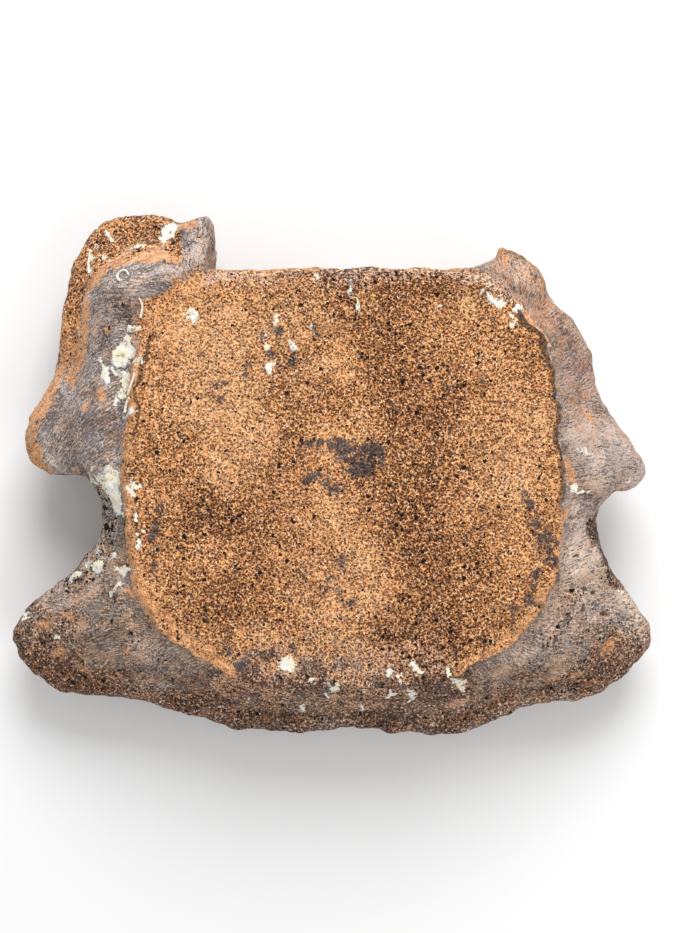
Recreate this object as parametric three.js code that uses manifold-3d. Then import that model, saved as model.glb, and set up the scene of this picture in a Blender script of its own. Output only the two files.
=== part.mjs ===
// A mammoth's neck vertebra without its arch, lying on one end face, at life size.
// Millimetres, +Z up along the bone's length, +Y towards the back of the animal, +X to the right.
// The bone is one skin, worked out from its outline and its cross-sections and then parted by thin
// cuts into the body of the vertebra, the two stubs of the arch and the four roots of its side processes.

import * as THREE from 'three';
import { mergeVertices } from 'three/addons/utils/BufferGeometryUtils.js';
import Module from 'manifold-3d';

// Driving dimensions
const BODY_LENGTH = 58; // from end face to end face
const UPPER_FACE = { halfWidth: 72.5, halfHeight: 70, x: 4.6, y: -1.9, dish: 2.2 };
const LOWER_FACE = { halfWidth: 71, halfHeight: 66.5, x: 4.6, y: -1.5, dish: 3.5 };
const FACE_SQUARENESS = 3.1; // exponent of the faces' rounded squares
const FACE_SQUARENESS_RISE = 0.35; // more at the flat dorsal edge, less at the ventral one
const VENTRAL_ROLL = 5; // how far the upper face rolls down to its ventral edge
const LOWER_RING = 0.86; // the lower face is flat outside this share of its size, where the bone rests
const GROOVE_FROM_RIM = 5; // the groove round the upper face lies this far out
const GROOVE_WIDTH = 3.6;
const CROWN_LEAN = 1.45; // the flanks' crown lies nearer the outline than the rim
const FLANK_EASE = 0.35; // how far a flank levels out at its ends
const CUT = 0.3; // width of the cuts between the parts

// Mesh density
const FACE_STEPS = 32; // squares along each side of an end face
const AROUND = 4 * FACE_STEPS;
const FLANK_ROWS = 9;
const FLANK_CROWDING = 1.4; // the rows lie closer together near the upper rim
const WALL_ROWS = 6;
const UNDERSIDE_ROWS = 5;

// Stations are measured round the bone in quarters of the end face's edge, counter-clockwise from above:
// 0 is its lower right corner, 1 the upper right, 2 the upper left and 3 the lower left.
const OUTLINE = [
  // right lower root, and the floor of the right foramen
  { at: 0.05, x: 112.3, y: -58.1 },
  { at: 0.13, x: 108, y: -46.8 },
  { at: 0.24, x: 96.6, y: -31.5 },
  { at: 0.35, x: 91, y: -15.7 },
  // right upper root
  { at: 0.42, x: 97.7, y: -5.6 },
  { at: 0.46, x: 105.7, y: -4.2 },
  { at: 0.51, x: 108.9, y: 2.5 },
  { at: 0.57, x: 104.3, y: 10.9 },
  { at: 0.68, x: 92.4, y: 30.1 },
  // right pedicle
  { at: 0.76, x: 89.6, y: 42.7 },
  { at: 0.84, x: 84, y: 53.6 },
  { at: 0.92, x: 75.6, y: 62 },
  { at: 0.98, x: 72.5, y: 71.8 },
  { at: 1.05, x: 59.9, y: 78.8 },
  { at: 1.12, x: 56, y: 74.6 },
  // floor of the spinal canal
  { at: 1.22, x: 43.5, y: 70.6 },
  { at: 1.37, x: 23.2, y: 70.2 },
  { at: 1.605, x: -10.6, y: 70.4 },
  { at: 1.81, x: -39.3, y: 71 },
  // left pedicle, with the horn beside the canal and the break along its outer side
  { at: 1.84, x: -43.5, y: 72.4 },
  { at: 1.87, x: -41.5, y: 81.9 },
  { at: 1.905, x: -44.1, y: 90 },
  { at: 1.945, x: -52.9, y: 87.9 },
  { at: 1.99, x: -62.7, y: 91 },
  { at: 2.06, x: -81.9, y: 86.5 },
  { at: 2.12, x: -89.6, y: 76 },
  { at: 2.22, x: -94.9, y: 53.9 },
  // left upper root
  { at: 2.31, x: -98, y: 34.7 },
  { at: 2.38, x: -105.7, y: 19.6 },
  { at: 2.43, x: -106.8, y: 7.7 },
  { at: 2.48, x: -98.7, y: -0.4 },
  { at: 2.525, x: -91, y: 2.5 },
  // floor of the left foramen, and the left lower root
  { at: 2.585, x: -81.7, y: -6.1 },
  { at: 2.675, x: -81.7, y: -21.5 },
  { at: 2.76, x: -93.1, y: -36.8 },
  { at: 2.84, x: -107, y: -47.2 },
  { at: 2.9, x: -112.4, y: -56.4 },
  { at: 2.965, x: -107, y: -68 },
  { at: 3.03, x: -94.7, y: -76.8 },
  // ventral lip, with its two low lobes
  { at: 3.115, x: -71.7, y: -79.5 },
  { at: 3.2, x: -54.2, y: -85 },
  { at: 3.29, x: -36.6, y: -90 },
  { at: 3.39, x: -15.2, y: -92.4 },
  { at: 3.52, x: 8, y: -90.3 },
  { at: 3.63, x: 26, y: -92.4 },
  { at: 3.77, x: 52.1, y: -90.7 },
  { at: 3.86, x: 70.4, y: -82 },
  { at: 3.93, x: 89.9, y: -78.2 },
  { at: 3.99, x: 104.9, y: -68.8 },
];

// Cross-sections: the heights of the outer wall's upper and lower edges, the flank's crown, the depth of
// the groove beside the upper face and the rounding of the outer wall.
const SECTIONS = [
  { at: 0.05, top: 30, bottom: 9, crown: 3, groove: 3, round: 9 }, // right lower root
  { at: 0.35, top: 46, bottom: 6, crown: 0, groove: 3, round: 4 }, // right foramen
  { at: 0.5, top: 40, bottom: 15, crown: 3, groove: 4, round: 9 }, // right upper root
  { at: 0.7, top: 41, bottom: 11, crown: 2, groove: 4, round: 7 },
  { at: 1, top: 44, bottom: 13, crown: 4, groove: 6, round: 7 }, // right pedicle
  { at: 1.25, top: 55, bottom: 3, crown: 0, groove: 0, round: 2 }, // floor of the canal
  { at: 1.79, top: 55, bottom: 3, crown: 0, groove: 0, round: 2 },
  { at: 1.9, top: 47, bottom: 12, crown: 4, groove: 5, round: 6 }, // horn of the left pedicle
  { at: 2.05, top: 32, bottom: 13, crown: 11, groove: 6, round: 6 }, // break of the left pedicle
  { at: 2.26, top: 33, bottom: 12, crown: 8, groove: 6, round: 6 },
  { at: 2.44, top: 38, bottom: 14, crown: 2, groove: 4, round: 9 }, // left upper root
  { at: 2.61, top: 46, bottom: 6, crown: 0, groove: 2, round: 4 }, // left foramen
  { at: 2.9, top: 30, bottom: 10, crown: 3, groove: 2, round: 9 }, // left lower root
  { at: 3.06, top: 28, bottom: 8, crown: 3, groove: 1, round: 9 },
  { at: 3.27, top: 19, bottom: 4, crown: 1, groove: 0, round: 7 }, // ventral lip
  { at: 3.73, top: 19, bottom: 4, crown: 1, groove: 0, round: 7 },
  { at: 3.93, top: 28, bottom: 7, crown: 3, groove: 2, round: 9 },
];

// Saw cuts, each along a line on the plan that starts and ends in the open or on another cut.
const LEFT_CORNER = [-73.5, 33];
const RIGHT_CORNER = [82, 33];
const CUTS = [
  { from: [-86, -12], to: LEFT_CORNER },
  { from: LEFT_CORNER, to: [-40, 88] },
  { from: LEFT_CORNER, to: [-130, 38] },
  { from: [-46, -95], to: [-90, -22] },
  { from: [94.5, -15], to: RIGHT_CORNER },
  { from: RIGHT_CORNER, to: [44, 92] },
  { from: RIGHT_CORNER, to: [130, 36] },
  { from: [60, -96], to: [99, -20] },
];

// The parts that the cuts leave, each with a place on the plan near its middle.
const PARTS = [
  { name: 'centrum', x: 5, y: -2 },
  { name: 'left_pedicle', x: -74, y: 65 },
  { name: 'left_upper_root', x: -92, y: 18 },
  { name: 'left_lower_root', x: -86, y: -60 },
  { name: 'right_pedicle', x: 72, y: 58 },
  { name: 'right_upper_root', x: 97, y: 10 },
  { name: 'right_lower_root', x: 91, y: -60 },
];

const SPONGY_BONE = new THREE.MeshStandardMaterial({ color: 0xb27a4a, roughness: 0.95, metalness: 0 });
const CORTICAL_BONE = new THREE.MeshStandardMaterial({ color: 0x75655a, roughness: 0.85, metalness: 0 });

const { cos, sin, abs, max, min, exp, hypot, atan2, PI, sign } = Math;
const mix = (a, b, share) => a + (b - a) * share;
const smooth = (t) => t * t * (3 - 2 * t);

// Finds the pair of stations that a place lies between, round the closed ring, and its share of the way.
function between(stations, at) {
  const count = stations.length;
  const place = at < stations[0].at ? at + 4 : at;
  const next = stations.findIndex((station) => station.at > place);
  const first = (next < 0 ? count : next) - 1;
  const second = (first + 1) % count;
  const end = stations[second].at + (second === 0 ? 4 : 0);
  return { first, second, share: (place - stations[first].at) / (end - stations[first].at) };
}

const outlineCurve = new THREE.CatmullRomCurve3(
  OUTLINE.map(({ x, y }) => new THREE.Vector3(x, y, 0)),
  true,
  'centripetal',
);

function outlineAt(at) {
  const { first, share } = between(OUTLINE, at);
  return outlineCurve.getPoint((first + share) / OUTLINE.length);
}

function sectionAt(at) {
  const { first, second, share } = between(SECTIONS, at);
  const ease = smooth(share);
  const sizes = Object.keys(SECTIONS[first]).map((key) => [
    key,
    mix(SECTIONS[first][key], SECTIONS[second][key], ease),
  ]);
  return Object.fromEntries(sizes);
}

// The point of the unit square's edge at a station.
function squareEdge(at) {
  const side = Math.floor(at) % 4;
  const along = 2 * (at - Math.floor(at)) - 1;
  return [
    [1, along],
    [-along, 1],
    [-1, -along],
    [along, -1],
  ][side];
}

// A point of an end face: each square of the grid is drawn in to a rounded square of the face's size.
function facePlan(face, a, b) {
  const way = atan2(b, a);
  const power = FACE_SQUARENESS + FACE_SQUARENESS_RISE * sin(way);
  const c = abs(cos(way));
  const s = abs(sin(way));
  const draw = max(c, s) / (c ** power + s ** power) ** (1 / power);
  return { x: face.x + face.halfWidth * a * draw, y: face.y + face.halfHeight * b * draw };
}

function upperFace(a, b) {
  const size = max(abs(a), abs(b));
  const ventral = max(0, -b);
  const height = BODY_LENGTH - VENTRAL_ROLL * ventral ** 3 - UPPER_FACE.dish * (1 - size ** 4);
  const { x, y } = facePlan(UPPER_FACE, a, b);
  return new THREE.Vector3(x, y, height);
}

function lowerFace(a, b) {
  const size = max(abs(a), abs(b));
  const inside = max(0, 1 - size / LOWER_RING);
  const { x, y } = facePlan(LOWER_FACE, a, b);
  return new THREE.Vector3(x, y, LOWER_FACE.dish * smooth(inside));
}

// One line over the side of the bone: down the flank from the upper rim, round the outer wall and in
// along the underside to the lower rim. Both rims are left to the end faces.
function sideLine(at) {
  const [a, b] = squareEdge(at);
  const rim = upperFace(a, b);
  const foot = lowerFace(a, b);
  const edge = outlineAt(at);
  const section = sectionAt(at);
  const reach = hypot(edge.x - rim.x, edge.y - rim.y);
  const out = new THREE.Vector3(edge.x - rim.x, edge.y - rim.y, 0).divideScalar(reach);
  const round = min(section.round, 0.6 * reach);
  const shoulder = edge.clone().addScaledVector(out, -round);
  const line = [];
  for (let row = 1; row <= FLANK_ROWS; row += 1) {
    const t = (row / FLANK_ROWS) ** FLANK_CROWDING;
    const fall = mix(t, smooth(t), FLANK_EASE);
    const fromRim = t * (reach - round) - GROOVE_FROM_RIM;
    const groove = section.groove * exp(-((fromRim / GROOVE_WIDTH) ** 2)) * (1 - t ** 6);
    const crown = section.crown * sin(PI * t ** CROWN_LEAN);
    line.push(rim.clone().lerp(shoulder, t).setZ(mix(rim.z, section.top, fall) + crown - groove));
  }
  const middle = (section.top + section.bottom) / 2;
  const half = (section.top - section.bottom) / 2;
  for (let row = 1; row < WALL_ROWS; row += 1) {
    const turn = PI * (0.5 - row / WALL_ROWS);
    line.push(shoulder.clone().addScaledVector(out, round * cos(turn)).setZ(middle + half * sin(turn)));
  }
  for (let row = 0; row < UNDERSIDE_ROWS; row += 1) {
    const t = row / UNDERSIDE_ROWS;
    line.push(shoulder.clone().lerp(foot, t).setZ(section.bottom * (1 - mix(t, smooth(t), FLANK_EASE))));
  }
  return line;
}

// The whole skin as one closed mesh: two square grids for the end faces, joined by the side lines.
function boneSkin() {
  const points = [];
  const triangles = [];
  const add = (point) => points.push(point) - 1;
  const quad = (a, b, c, d) => triangles.push(a, b, c, a, c, d);

  const gridOf = (surface) => {
    const step = (k) => (2 * k) / FACE_STEPS - 1;
    return Array.from({ length: FACE_STEPS + 1 }, (_, j) =>
      Array.from({ length: FACE_STEPS + 1 }, (__, i) => add(surface(step(i), step(j)))),
    );
  };
  const edgeOf = (grid) => {
    const last = FACE_STEPS;
    return Array.from({ length: AROUND }, (_, k) => {
      const side = Math.floor(k / last);
      const along = k % last;
      const [i, j] = [
        [last, along],
        [last - along, last],
        [0, last - along],
        [along, 0],
      ][side];
      return grid[j][i];
    });
  };

  const upper = gridOf(upperFace);
  const lower = gridOf(lowerFace);
  for (let j = 0; j < FACE_STEPS; j += 1) {
    for (let i = 0; i < FACE_STEPS; i += 1) {
      quad(upper[j][i], upper[j][i + 1], upper[j + 1][i + 1], upper[j + 1][i]);
      quad(lower[j][i], lower[j + 1][i], lower[j + 1][i + 1], lower[j][i + 1]);
    }
  }

  const upperEdge = edgeOf(upper);
  const lowerEdge = edgeOf(lower);
  const lines = upperEdge.map((start, k) => {
    const side = sideLine((4 * k) / AROUND).map(add);
    return [start, ...side, lowerEdge[k]];
  });
  lines.forEach((line, k) => {
    const next = lines[(k + 1) % AROUND];
    for (let row = 0; row + 1 < line.length; row += 1) {
      quad(line[row], line[row + 1], next[row + 1], next[row]);
    }
  });

  const geometry = new THREE.BufferGeometry().setFromPoints(points);
  geometry.setIndex(triangles);
  return geometry;
}

const wasm = await Module();
wasm.setup();

function solidOf(geometry) {
  const bare = geometry.clone();
  bare.deleteAttribute('normal');
  bare.deleteAttribute('uv');
  const merged = mergeVertices(bare, 1e-4);
  return new wasm.Manifold(
    new wasm.Mesh({
      numProp: 3,
      vertProperties: new Float32Array(merged.attributes.position.array),
      triVerts: new Uint32Array(merged.index.array),
    }),
  );
}

function meshOf(name, solid, material) {
  const { vertProperties, triVerts } = solid.getMesh();
  const geometry = new THREE.BufferGeometry();
  geometry.setAttribute('position', new THREE.BufferAttribute(new Float32Array(vertProperties), 3));
  geometry.setIndex(new THREE.BufferAttribute(new Uint32Array(triVerts), 1));
  geometry.computeVertexNormals();
  const mesh = new THREE.Mesh(geometry, material);
  mesh.name = name;
  return mesh;
}

// The thin upright slice that a cut takes away, a little longer than its line, so that cuts which meet cross.
function slice({ from, to }) {
  const [fromX, fromY] = from;
  const [toX, toY] = to;
  const length = hypot(toX - fromX, toY - fromY);
  const blade = new THREE.BoxGeometry(length + 2 * CUT, CUT, 3 * BODY_LENGTH);
  blade.rotateZ(atan2(toY - fromY, toX - fromX));
  blade.translate((fromX + toX) / 2, (fromY + toY) / 2, BODY_LENGTH / 2);
  return solidOf(blade);
}

// The bodies that the cuts leave, each named as the part whose place is nearest to its middle.
function cutBone() {
  const whole = solidOf(boneSkin());
  const sawn = CUTS.reduce((solid, cut) => solid.subtract(slice(cut)), whole);
  const bodies = sawn.decompose().map((body) => {
    const { min: low, max: high } = body.boundingBox();
    return { body, x: (low[0] + high[0]) / 2, y: (low[1] + high[1]) / 2 };
  });
  return PARTS.map(({ name, x, y }) => {
    const far = (one) => hypot(one.x - x, one.y - y);
    const nearest = bodies.reduce((best, one) => (far(one) < far(best) ? one : best));
    return meshOf(name, nearest.body, name === 'centrum' ? SPONGY_BONE : CORTICAL_BONE);
  });
}

// The origin lies under the middle of the bone's outline, on the surface that it rests on.
const vertebra = new THREE.Group();
vertebra.add(...cutBone());
const box = new THREE.Box3().setFromObject(vertebra);
vertebra.position.set(-(box.min.x + box.max.x) / 2, -(box.min.y + box.max.y) / 2, -box.min.z);

export default vertebra;
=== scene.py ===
"""Dresses a mammoth's neck vertebra, which lies on one end face with the other, spongy end face up.

Shapes are worked out in millimetres, in the frame of the solids: +X to the right, +Y towards the animal's
back and +Z up along the bone. Meshes are written in metres.
"""

import logging
import math
from dataclasses import dataclass, field
from enum import Enum
from itertools import product
from typing import Union

import bpy
import numpy as np
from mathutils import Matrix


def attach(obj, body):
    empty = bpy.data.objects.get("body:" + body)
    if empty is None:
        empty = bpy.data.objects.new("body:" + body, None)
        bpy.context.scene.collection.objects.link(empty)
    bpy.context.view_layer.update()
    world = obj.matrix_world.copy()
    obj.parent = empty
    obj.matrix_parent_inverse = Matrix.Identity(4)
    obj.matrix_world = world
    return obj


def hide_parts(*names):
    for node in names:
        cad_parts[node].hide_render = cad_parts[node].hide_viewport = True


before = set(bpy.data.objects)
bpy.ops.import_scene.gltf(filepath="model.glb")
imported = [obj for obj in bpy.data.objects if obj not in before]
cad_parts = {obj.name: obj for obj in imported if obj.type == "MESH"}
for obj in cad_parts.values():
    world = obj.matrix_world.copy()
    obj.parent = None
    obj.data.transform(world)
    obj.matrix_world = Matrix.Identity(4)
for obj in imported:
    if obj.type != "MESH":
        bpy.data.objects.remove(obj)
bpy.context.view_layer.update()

Array = np.ndarray
Triple = tuple[float, float, float]
Colour = Triple
Rows = tuple[tuple[float, ...], ...]
Key = Union[int, str]
Input = Union["Value", float, Colour]

MM = 0.001
ROOT = "root"
CORTICAL = "cortical_bone"
SPONGY = "spongy_bone"
BAKE_MAP = "OFBake"
FIBRE_MAP = "fibre"

# Stations run round the bone in quarters of the end face's edge, counter-clockwise from above: 0 is the
# lower right corner, 1 the upper right, 2 the upper left and 3 the lower left. Columns: station, x, y.
OUTLINE = np.array([
    # right lower root, and the floor of the right foramen
    (0.05, 112.3, -58.1), (0.13, 108, -46.8), (0.24, 96.6, -31.5), (0.35, 91, -15.7),
    # right upper root
    (0.42, 97.7, -5.6), (0.46, 105.7, -4.2), (0.51, 108.9, 2.5), (0.57, 104.3, 10.9), (0.68, 92.4, 30.1),
    # right pedicle
    (0.76, 89.6, 42.7), (0.84, 84, 53.6), (0.92, 75.6, 62), (0.98, 72.5, 71.8), (1.05, 59.9, 78.8),
    (1.12, 56, 74.6),
    # floor of the spinal canal
    (1.22, 43.5, 70.6), (1.37, 23.2, 70.2), (1.605, -10.6, 70.4), (1.81, -39.3, 71),
    # left pedicle, with the horn beside the canal and the break along its outer side
    (1.84, -43.5, 72.4), (1.87, -41.5, 81.9), (1.905, -44.1, 90), (1.945, -52.9, 87.9), (1.99, -62.7, 91),
    (2.06, -81.9, 86.5), (2.12, -89.6, 76), (2.22, -94.9, 53.9),
    # left upper root
    (2.31, -98, 34.7), (2.38, -105.7, 19.6), (2.43, -106.8, 7.7), (2.48, -98.7, -0.4), (2.525, -91, 2.5),
    # floor of the left foramen, and the left lower root
    (2.585, -81.7, -6.1), (2.675, -81.7, -21.5), (2.76, -93.1, -36.8), (2.84, -107, -47.2),
    (2.9, -112.4, -56.4), (2.965, -107, -68), (3.03, -94.7, -76.8),
    # ventral lip, with its two low lobes
    (3.115, -71.7, -79.5), (3.2, -54.2, -85), (3.29, -36.6, -90), (3.39, -15.2, -92.4), (3.52, 8, -90.3),
    (3.63, 26, -92.4), (3.77, 52.1, -90.7), (3.86, 70.4, -82), (3.93, 89.9, -78.2), (3.99, 104.9, -68.8),
])

# Cross-sections. Columns: station, height of the outer wall's upper edge, of its lower edge, the flank's
# crown, the depth of the groove beside the upper face and the rounding of the outer wall.
SECTIONS = np.array([
    (0.05, 30, 9, 3, 3, 9),  # right lower root
    (0.35, 46, 6, 0, 3, 4),  # right foramen
    (0.5, 40, 15, 3, 4, 9),  # right upper root
    (0.7, 41, 11, 2, 4, 7),
    (1, 44, 13, 4, 6, 7),  # right pedicle
    (1.25, 55, 3, 0, 0, 2),  # floor of the canal
    (1.79, 55, 3, 0, 0, 2),
    (1.9, 47, 12, 4, 3, 6),  # horn of the left pedicle
    (2.05, 32, 13, 11, 2, 6),  # break of the left pedicle
    (2.26, 33, 12, 8, 4, 6),
    (2.44, 38, 14, 2, 4, 9),  # left upper root
    (2.61, 46, 6, 0, 2, 4),  # left foramen
    (2.9, 30, 10, 3, 2, 9),  # left lower root
    (3.06, 28, 8, 3, 1, 9),
    (3.27, 19, 4, 1, 0, 7),  # ventral lip
    (3.73, 19, 4, 1, 0, 7),
    (3.93, 28, 7, 3, 2, 9),
])

# The stations of the canal's floor, from the first to the last, and how soft their ends are.
CANAL_FLOOR = (1.06, 1.84, 0.05)

# Places of the markings on the plan, in millimetres: x, y, half width, half height, turn in degrees.
LIME_CRUSTS = (
    # break of the left pedicle
    (-56, 84, 3.8, 2.8, 20), (-67, 80, 3.1, 1.5, 20), (-77.5, 84, 1.5, 1.2, 0), (-83, 78, 1, 2.7, -15),
    (-79, 76, 1, 1, 0), (-76, 75, 1, 1, 0), (-83, 72, 0.9, 1.5, 25), (-83, 63, 0.6, 2.1, 0),
    (-86, 49, 0.7, 1.4, 0),
    # left flank
    (-67, 49.5, 2.1, 1.7, 30), (-70, 42, 3.8, 4.8, -10), (-65.5, 38.5, 0.9, 2, -15), (-63.5, 39, 0.7, 3, -15),
    (-79, 39, 1, 1, 0), (-77, 34, 1.5, 3.8, 10), (-73, 36, 1.4, 1, 0), (-70.5, 31.5, 1.7, 5, -12),
    (-72.5, 25.5, 1.4, 2, -15), (-68, 21, 1.5, 2.7, 0),
    # beside the left foramen
    (-75.5, 4, 1.7, 2, 20), (-74.5, -2, 3.1, 4.8, 0), (-73, -9, 3.4, 3.8, 0), (-81.5, 0, 1, 3, 20),
    (-80.5, 4, 1, 1, 0), (-78, 0, 1.4, 1, 0), (-65.5, -4, 1.4, 1.7, 0), (-66.5, -14, 1, 2.4, 0),
    (-64.5, -17.5, 1, 1.4, 0), (-65.5, -22, 1.5, 2, 0),
    # left lower root
    (-79.5, -24, 0.7, 2, -15), (-80.5, -31, 1.7, 3.5, -35), (-84.5, -30, 1.4, 1.4, 0),
    (-88.5, -35, 1.2, 2.8, -35), (-70.5, -31.5, 2.8, 1.6, 0), (-74, -27, 1.7, 1, 0),
    (-72.5, -35.5, 1.6, 1.2, 0), (-73.5, -38, 1, 1.6, 0), (-108, -48.5, 1.4, 2, 0),
    (-95.5, -55.5, 1.7, 1, 25),
    # upper left of the face
    (-47.5, 53.5, 1.5, 2.5, 0), (-18.5, 52.5, 1, 1.5, 0), (-22.5, 48, 0.8, 1, 0), (-21.5, 44, 1, 1.5, 0),
    (-20.5, 37.5, 1.2, 2.2, 0), (-13, 44, 1.5, 2.2, 20), (-6, 50, 0.7, 1.2, 0), (6.5, 64, 0.8, 2.6, -15),
    (8, 59, 0.7, 2.6, 15), (-4, 67, 1, 0.8, 0), (36.5, 57.5, 0.7, 0.7, 0),
    # upper right of the face
    (51.5, 62, 1.2, 1.2, 0), (54, 63.5, 1.7, 0.8, -40), (55, 59.5, 1.6, 1, -40), (58, 57.5, 1.7, 1.1, -40),
    (61.5, 54, 2, 1.3, -40), (61.5, 50.5, 1.2, 1.2, 0), (63.5, 57.5, 1.2, 1.2, 0),
    # right flank
    (85, 8.5, 1.4, 1, 0), (81.5, -3.5, 2, 1.7, 0), (84.5, -5.5, 1.7, 1, 0), (101.5, -2, 2, 0.7, 10),
    (100, -39.5, 1.4, 1, -40),
    # ventral edge
    (-14.5, -64, 3, 3, 0), (-6, -68.5, 1.2, 1, 0), (-0.5, -71, 1.5, 1.5, 0), (-1, -74.5, 1, 1.5, 0),
    (-10.5, -81, 1.5, 1.9, 0), (10.5, -72.5, 1, 1, 0), (11, -81, 0.9, 0.9, 0), (20.5, -66.5, 1.5, 1.9, 0),
    (24, -68.5, 0.8, 1.9, 15), (29, -66, 1.3, 2.4, 20), (20, -74.5, 1.3, 2.4, 0), (27, -75.5, 1, 1.7, 0),
    (40.5, -66, 1.7, 1.7, 0), (42, -69, 1, 2.7, 25), (43.5, -71.5, 1.9, 1.7, 0),
)
DARK_STAINS = (
    # middle of the face
    (-7, 12, 3.4, 2.4, 0), (1.5, 11, 3.7, 2.7, -20), (5.5, 7, 5.4, 3.4, 0), (13.5, 8, 3.4, 3, 0),
    (9.5, 2.5, 6.7, 3.4, 0), (17.5, 5, 2, 2.7, 0), (-5.5, 0, 4, 2, 0), (0, -4, 2.7, 3, 0),
    # upper part of the face
    (-18.5, 49.5, 2.7, 1.7, -30), (-12.5, 39, 1.7, 3.4, 0), (-23, 48.5, 1.3, 1.7, 0),
    (-20.5, 42.5, 1.3, 1.3, 0), (-29.5, 34.5, 1.3, 2.7, 20), (-27, 37.5, 1, 1, 0), (-37, 31, 3, 1, -25),
    (-38, 26, 3, 1.3, -45),
    (-49, 63, 1.7, 2, 0), (-45, 67, 1.7, 1.3, 0), (-4.5, 49.5, 1.3, 2.7, -15), (6.5, 63, 1.3, 3.4, -10),
    (40, 29.5, 1.7, 1.3, 0), (51, 34, 1.7, 1.7, 0),
    # strip along the right edge
    (64.5, -4.5, 1.5, 2.4, 20), (66.5, -8.5, 2, 3.4, 20), (69, -10.5, 1.3, 1.3, 0), (69, -16, 2, 3.4, 10),
    (72.5, -23, 2.7, 3.7, 10), (73.5, -28, 2.4, 2, 0), (68.5, -32.5, 1.7, 2, 0), (67.5, -37, 1.7, 2.4, 0),
    (66.5, -42, 2.7, 2.4, 0), (61.5, -46, 2.7, 2.4, -30), (61.5, -51, 2, 1.3, 20),
    # lower part of the face
    (50.5, -56, 1.3, 1.3, 0), (41, -60.5, 0.7, 2.4, 10), (51.5, -61, 1.5, 0.7, -20), (31.5, -63, 1, 2, 20),
    (2.5, -29, 2, 2, 0), (6.5, -27, 1.7, 1, 0), (0, -34.5, 1.5, 1.5, 0), (6, -34, 1, 1.9, 0),
    (-2.5, -38.5, 1.5, 1.9, 0), (3, -40, 1.3, 2, 0), (7, -42.5, 1.9, 1.3, 0),
    (-35, -58, 2, 1.7, 0), (-30, -64, 2.7, 2.7, 0), (-22, -60, 2.7, 2, 0), (-14, -59, 1.7, 1.3, 0),
    (-43.5, -49, 1.5, 1.5, 0), (-45.5, -55, 1, 1, 0),
    # left edge
    (-59, -11.5, 2, 3, 0), (-60, -18.5, 2.7, 2.7, 0), (-58.5, -24, 2, 3, 0), (-59, -31, 1, 3, 0),
)
OCHRE_PATCHES = (
    # left flank
    (-79.5, 27.5, 2.2, 2.4, 0), (-83, 23.5, 1.4, 1.6, 20), (-76, 49, 1.8, 1.8, 0), (-73, 40, 1.2, 1.4, 0),
    (-88, 37, 2, 1.6, 0),
    # left lower root
    (-87, -42, 0.8, 2.4, -35), (-91, -47.5, 2.8, 1, 10), (-75, -69, 4.8, 1.3, 12), (-87, -67, 2.8, 1.7, 0),
    (-94.5, -61, 1.8, 1.8, 0), (-71.5, -61, 1.8, 1.4, 0), (-68, -38.5, 1.8, 1.8, 0), (-100, -52, 2, 2.4, 0),
    # right flank and right lower root
    (80.5, 2, 2.6, 4.2, 0), (88, 21, 1.4, 2.6, 50), (96, -58, 4, 2.6, 30), (84, -68, 3.4, 1.6, 10),
    (76, -70, 3, 1.4, 0), (78, -13, 1.6, 3, 0),
    # right pedicle
    (60, 75.5, 3.4, 1.6, -30), (67, 68, 2, 1, -40),
    # horn of the left pedicle
    (-50, 86.5, 4.5, 2.4, 25), (-58, 80.5, 5, 1.8, 20),
)
BROWN_REGIONS = (
    (28, 8, 15, 32, 0), (20, 40, 9, 11, 0), (-44, -14, 12, 12, 0), (36, -24, 13, 13, 0), (30, 24, 12, 12, 0),
    (-28, -34, 17, 16, 0), (14, 62, 20, 5, 0), (32, -52, 14, 8, 0), (24, -8, 10, 10, 0),
)
TAN_REGIONS = (
    (65, 19, 7, 9, 0), (50, 58, 7, 5, 0), (0, -22, 9, 12, 0), (-38, 38, 17, 18, 0), (-8, 34, 10, 8, 0),
    (60, 0, 9, 14, 0), (4, -54, 22, 8, 0), (-30, 8, 14, 12, 0), (-12, 56, 12, 7, 0),
)
PITS = (
    (82.5, -25.5, 1.4, 1.1, 0), (88.5, -40, 1.7, 1.2, -30), (86, -46, 1.7, 1.1, -20),
    (77, -56, 1.4, 0.8, -20), (94, -47, 1, 0.8, 0), (80, -48, 1.2, 0.8, -20), (-96, -2.5, 1.2, 1.2, 0),
    (90, -33, 1, 0.8, 0),
)
# Middle lines of the worm tubes on the plan, in millimetres.
WORM_TUBES = (
    ((-68.5, 68), (-70.4, 69.8), (-72.3, 68.4), (-71.3, 66.2)),
    ((-64.8, 60), (-63.8, 57.5), (-64.4, 53.5)),
    ((-66, 34.5), (-67.2, 31.2), (-68.6, 27.6)),
    ((-68, 26.5), (-69, 24.5), (-69.6, 21.6)),
    ((-84, 79), (-84.4, 74.5), (-83.4, 70)),
)


class Mark(Enum):
    """The numbers that each point of the bone carries, by the names of the mesh attributes."""

    SPONGY = "spongy"
    OPEN = "open"
    OCHRE = "ochre"
    RUST = "rust"
    BROWN = "brown"
    PALE = "pale"
    PITTED = "pitted"
    # painted shade in grooves, a crack, the slit and dents, and painted shadow beside the raised bands
    PAINTED_SHADE = "dirt"
    STAIN = "stain"
    CRUST = "crust"
    DUST = "dust"
    SLATE = "slate"


Marks = dict[Mark, Array]


def mix(low: Array, high: Array, share: Array) -> Array:
    """Goes from low to high in a straight line as share goes from 0 to 1."""
    return low + (high - low) * share


def ease(low: float, high: float, value: Array) -> Array:
    """Goes from 0 to 1 along an S-curve as value goes from low to high."""
    share = np.clip((value - low) / (high - low), 0, 1)
    return share * share * (3 - 2 * share)


def within(first: float, last: float, soft: float, value: Array) -> Array:
    """Is 1 from first to last and falls to 0 over a soft stretch outside them."""
    return ease(first - soft, first, value) * (1 - ease(last, last + soft, value))


def turned(at: Array) -> Array:
    """Stations from -2 to 2, which run on through the lower right corner, 0."""
    return (at + 2) % 4 - 2


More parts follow.
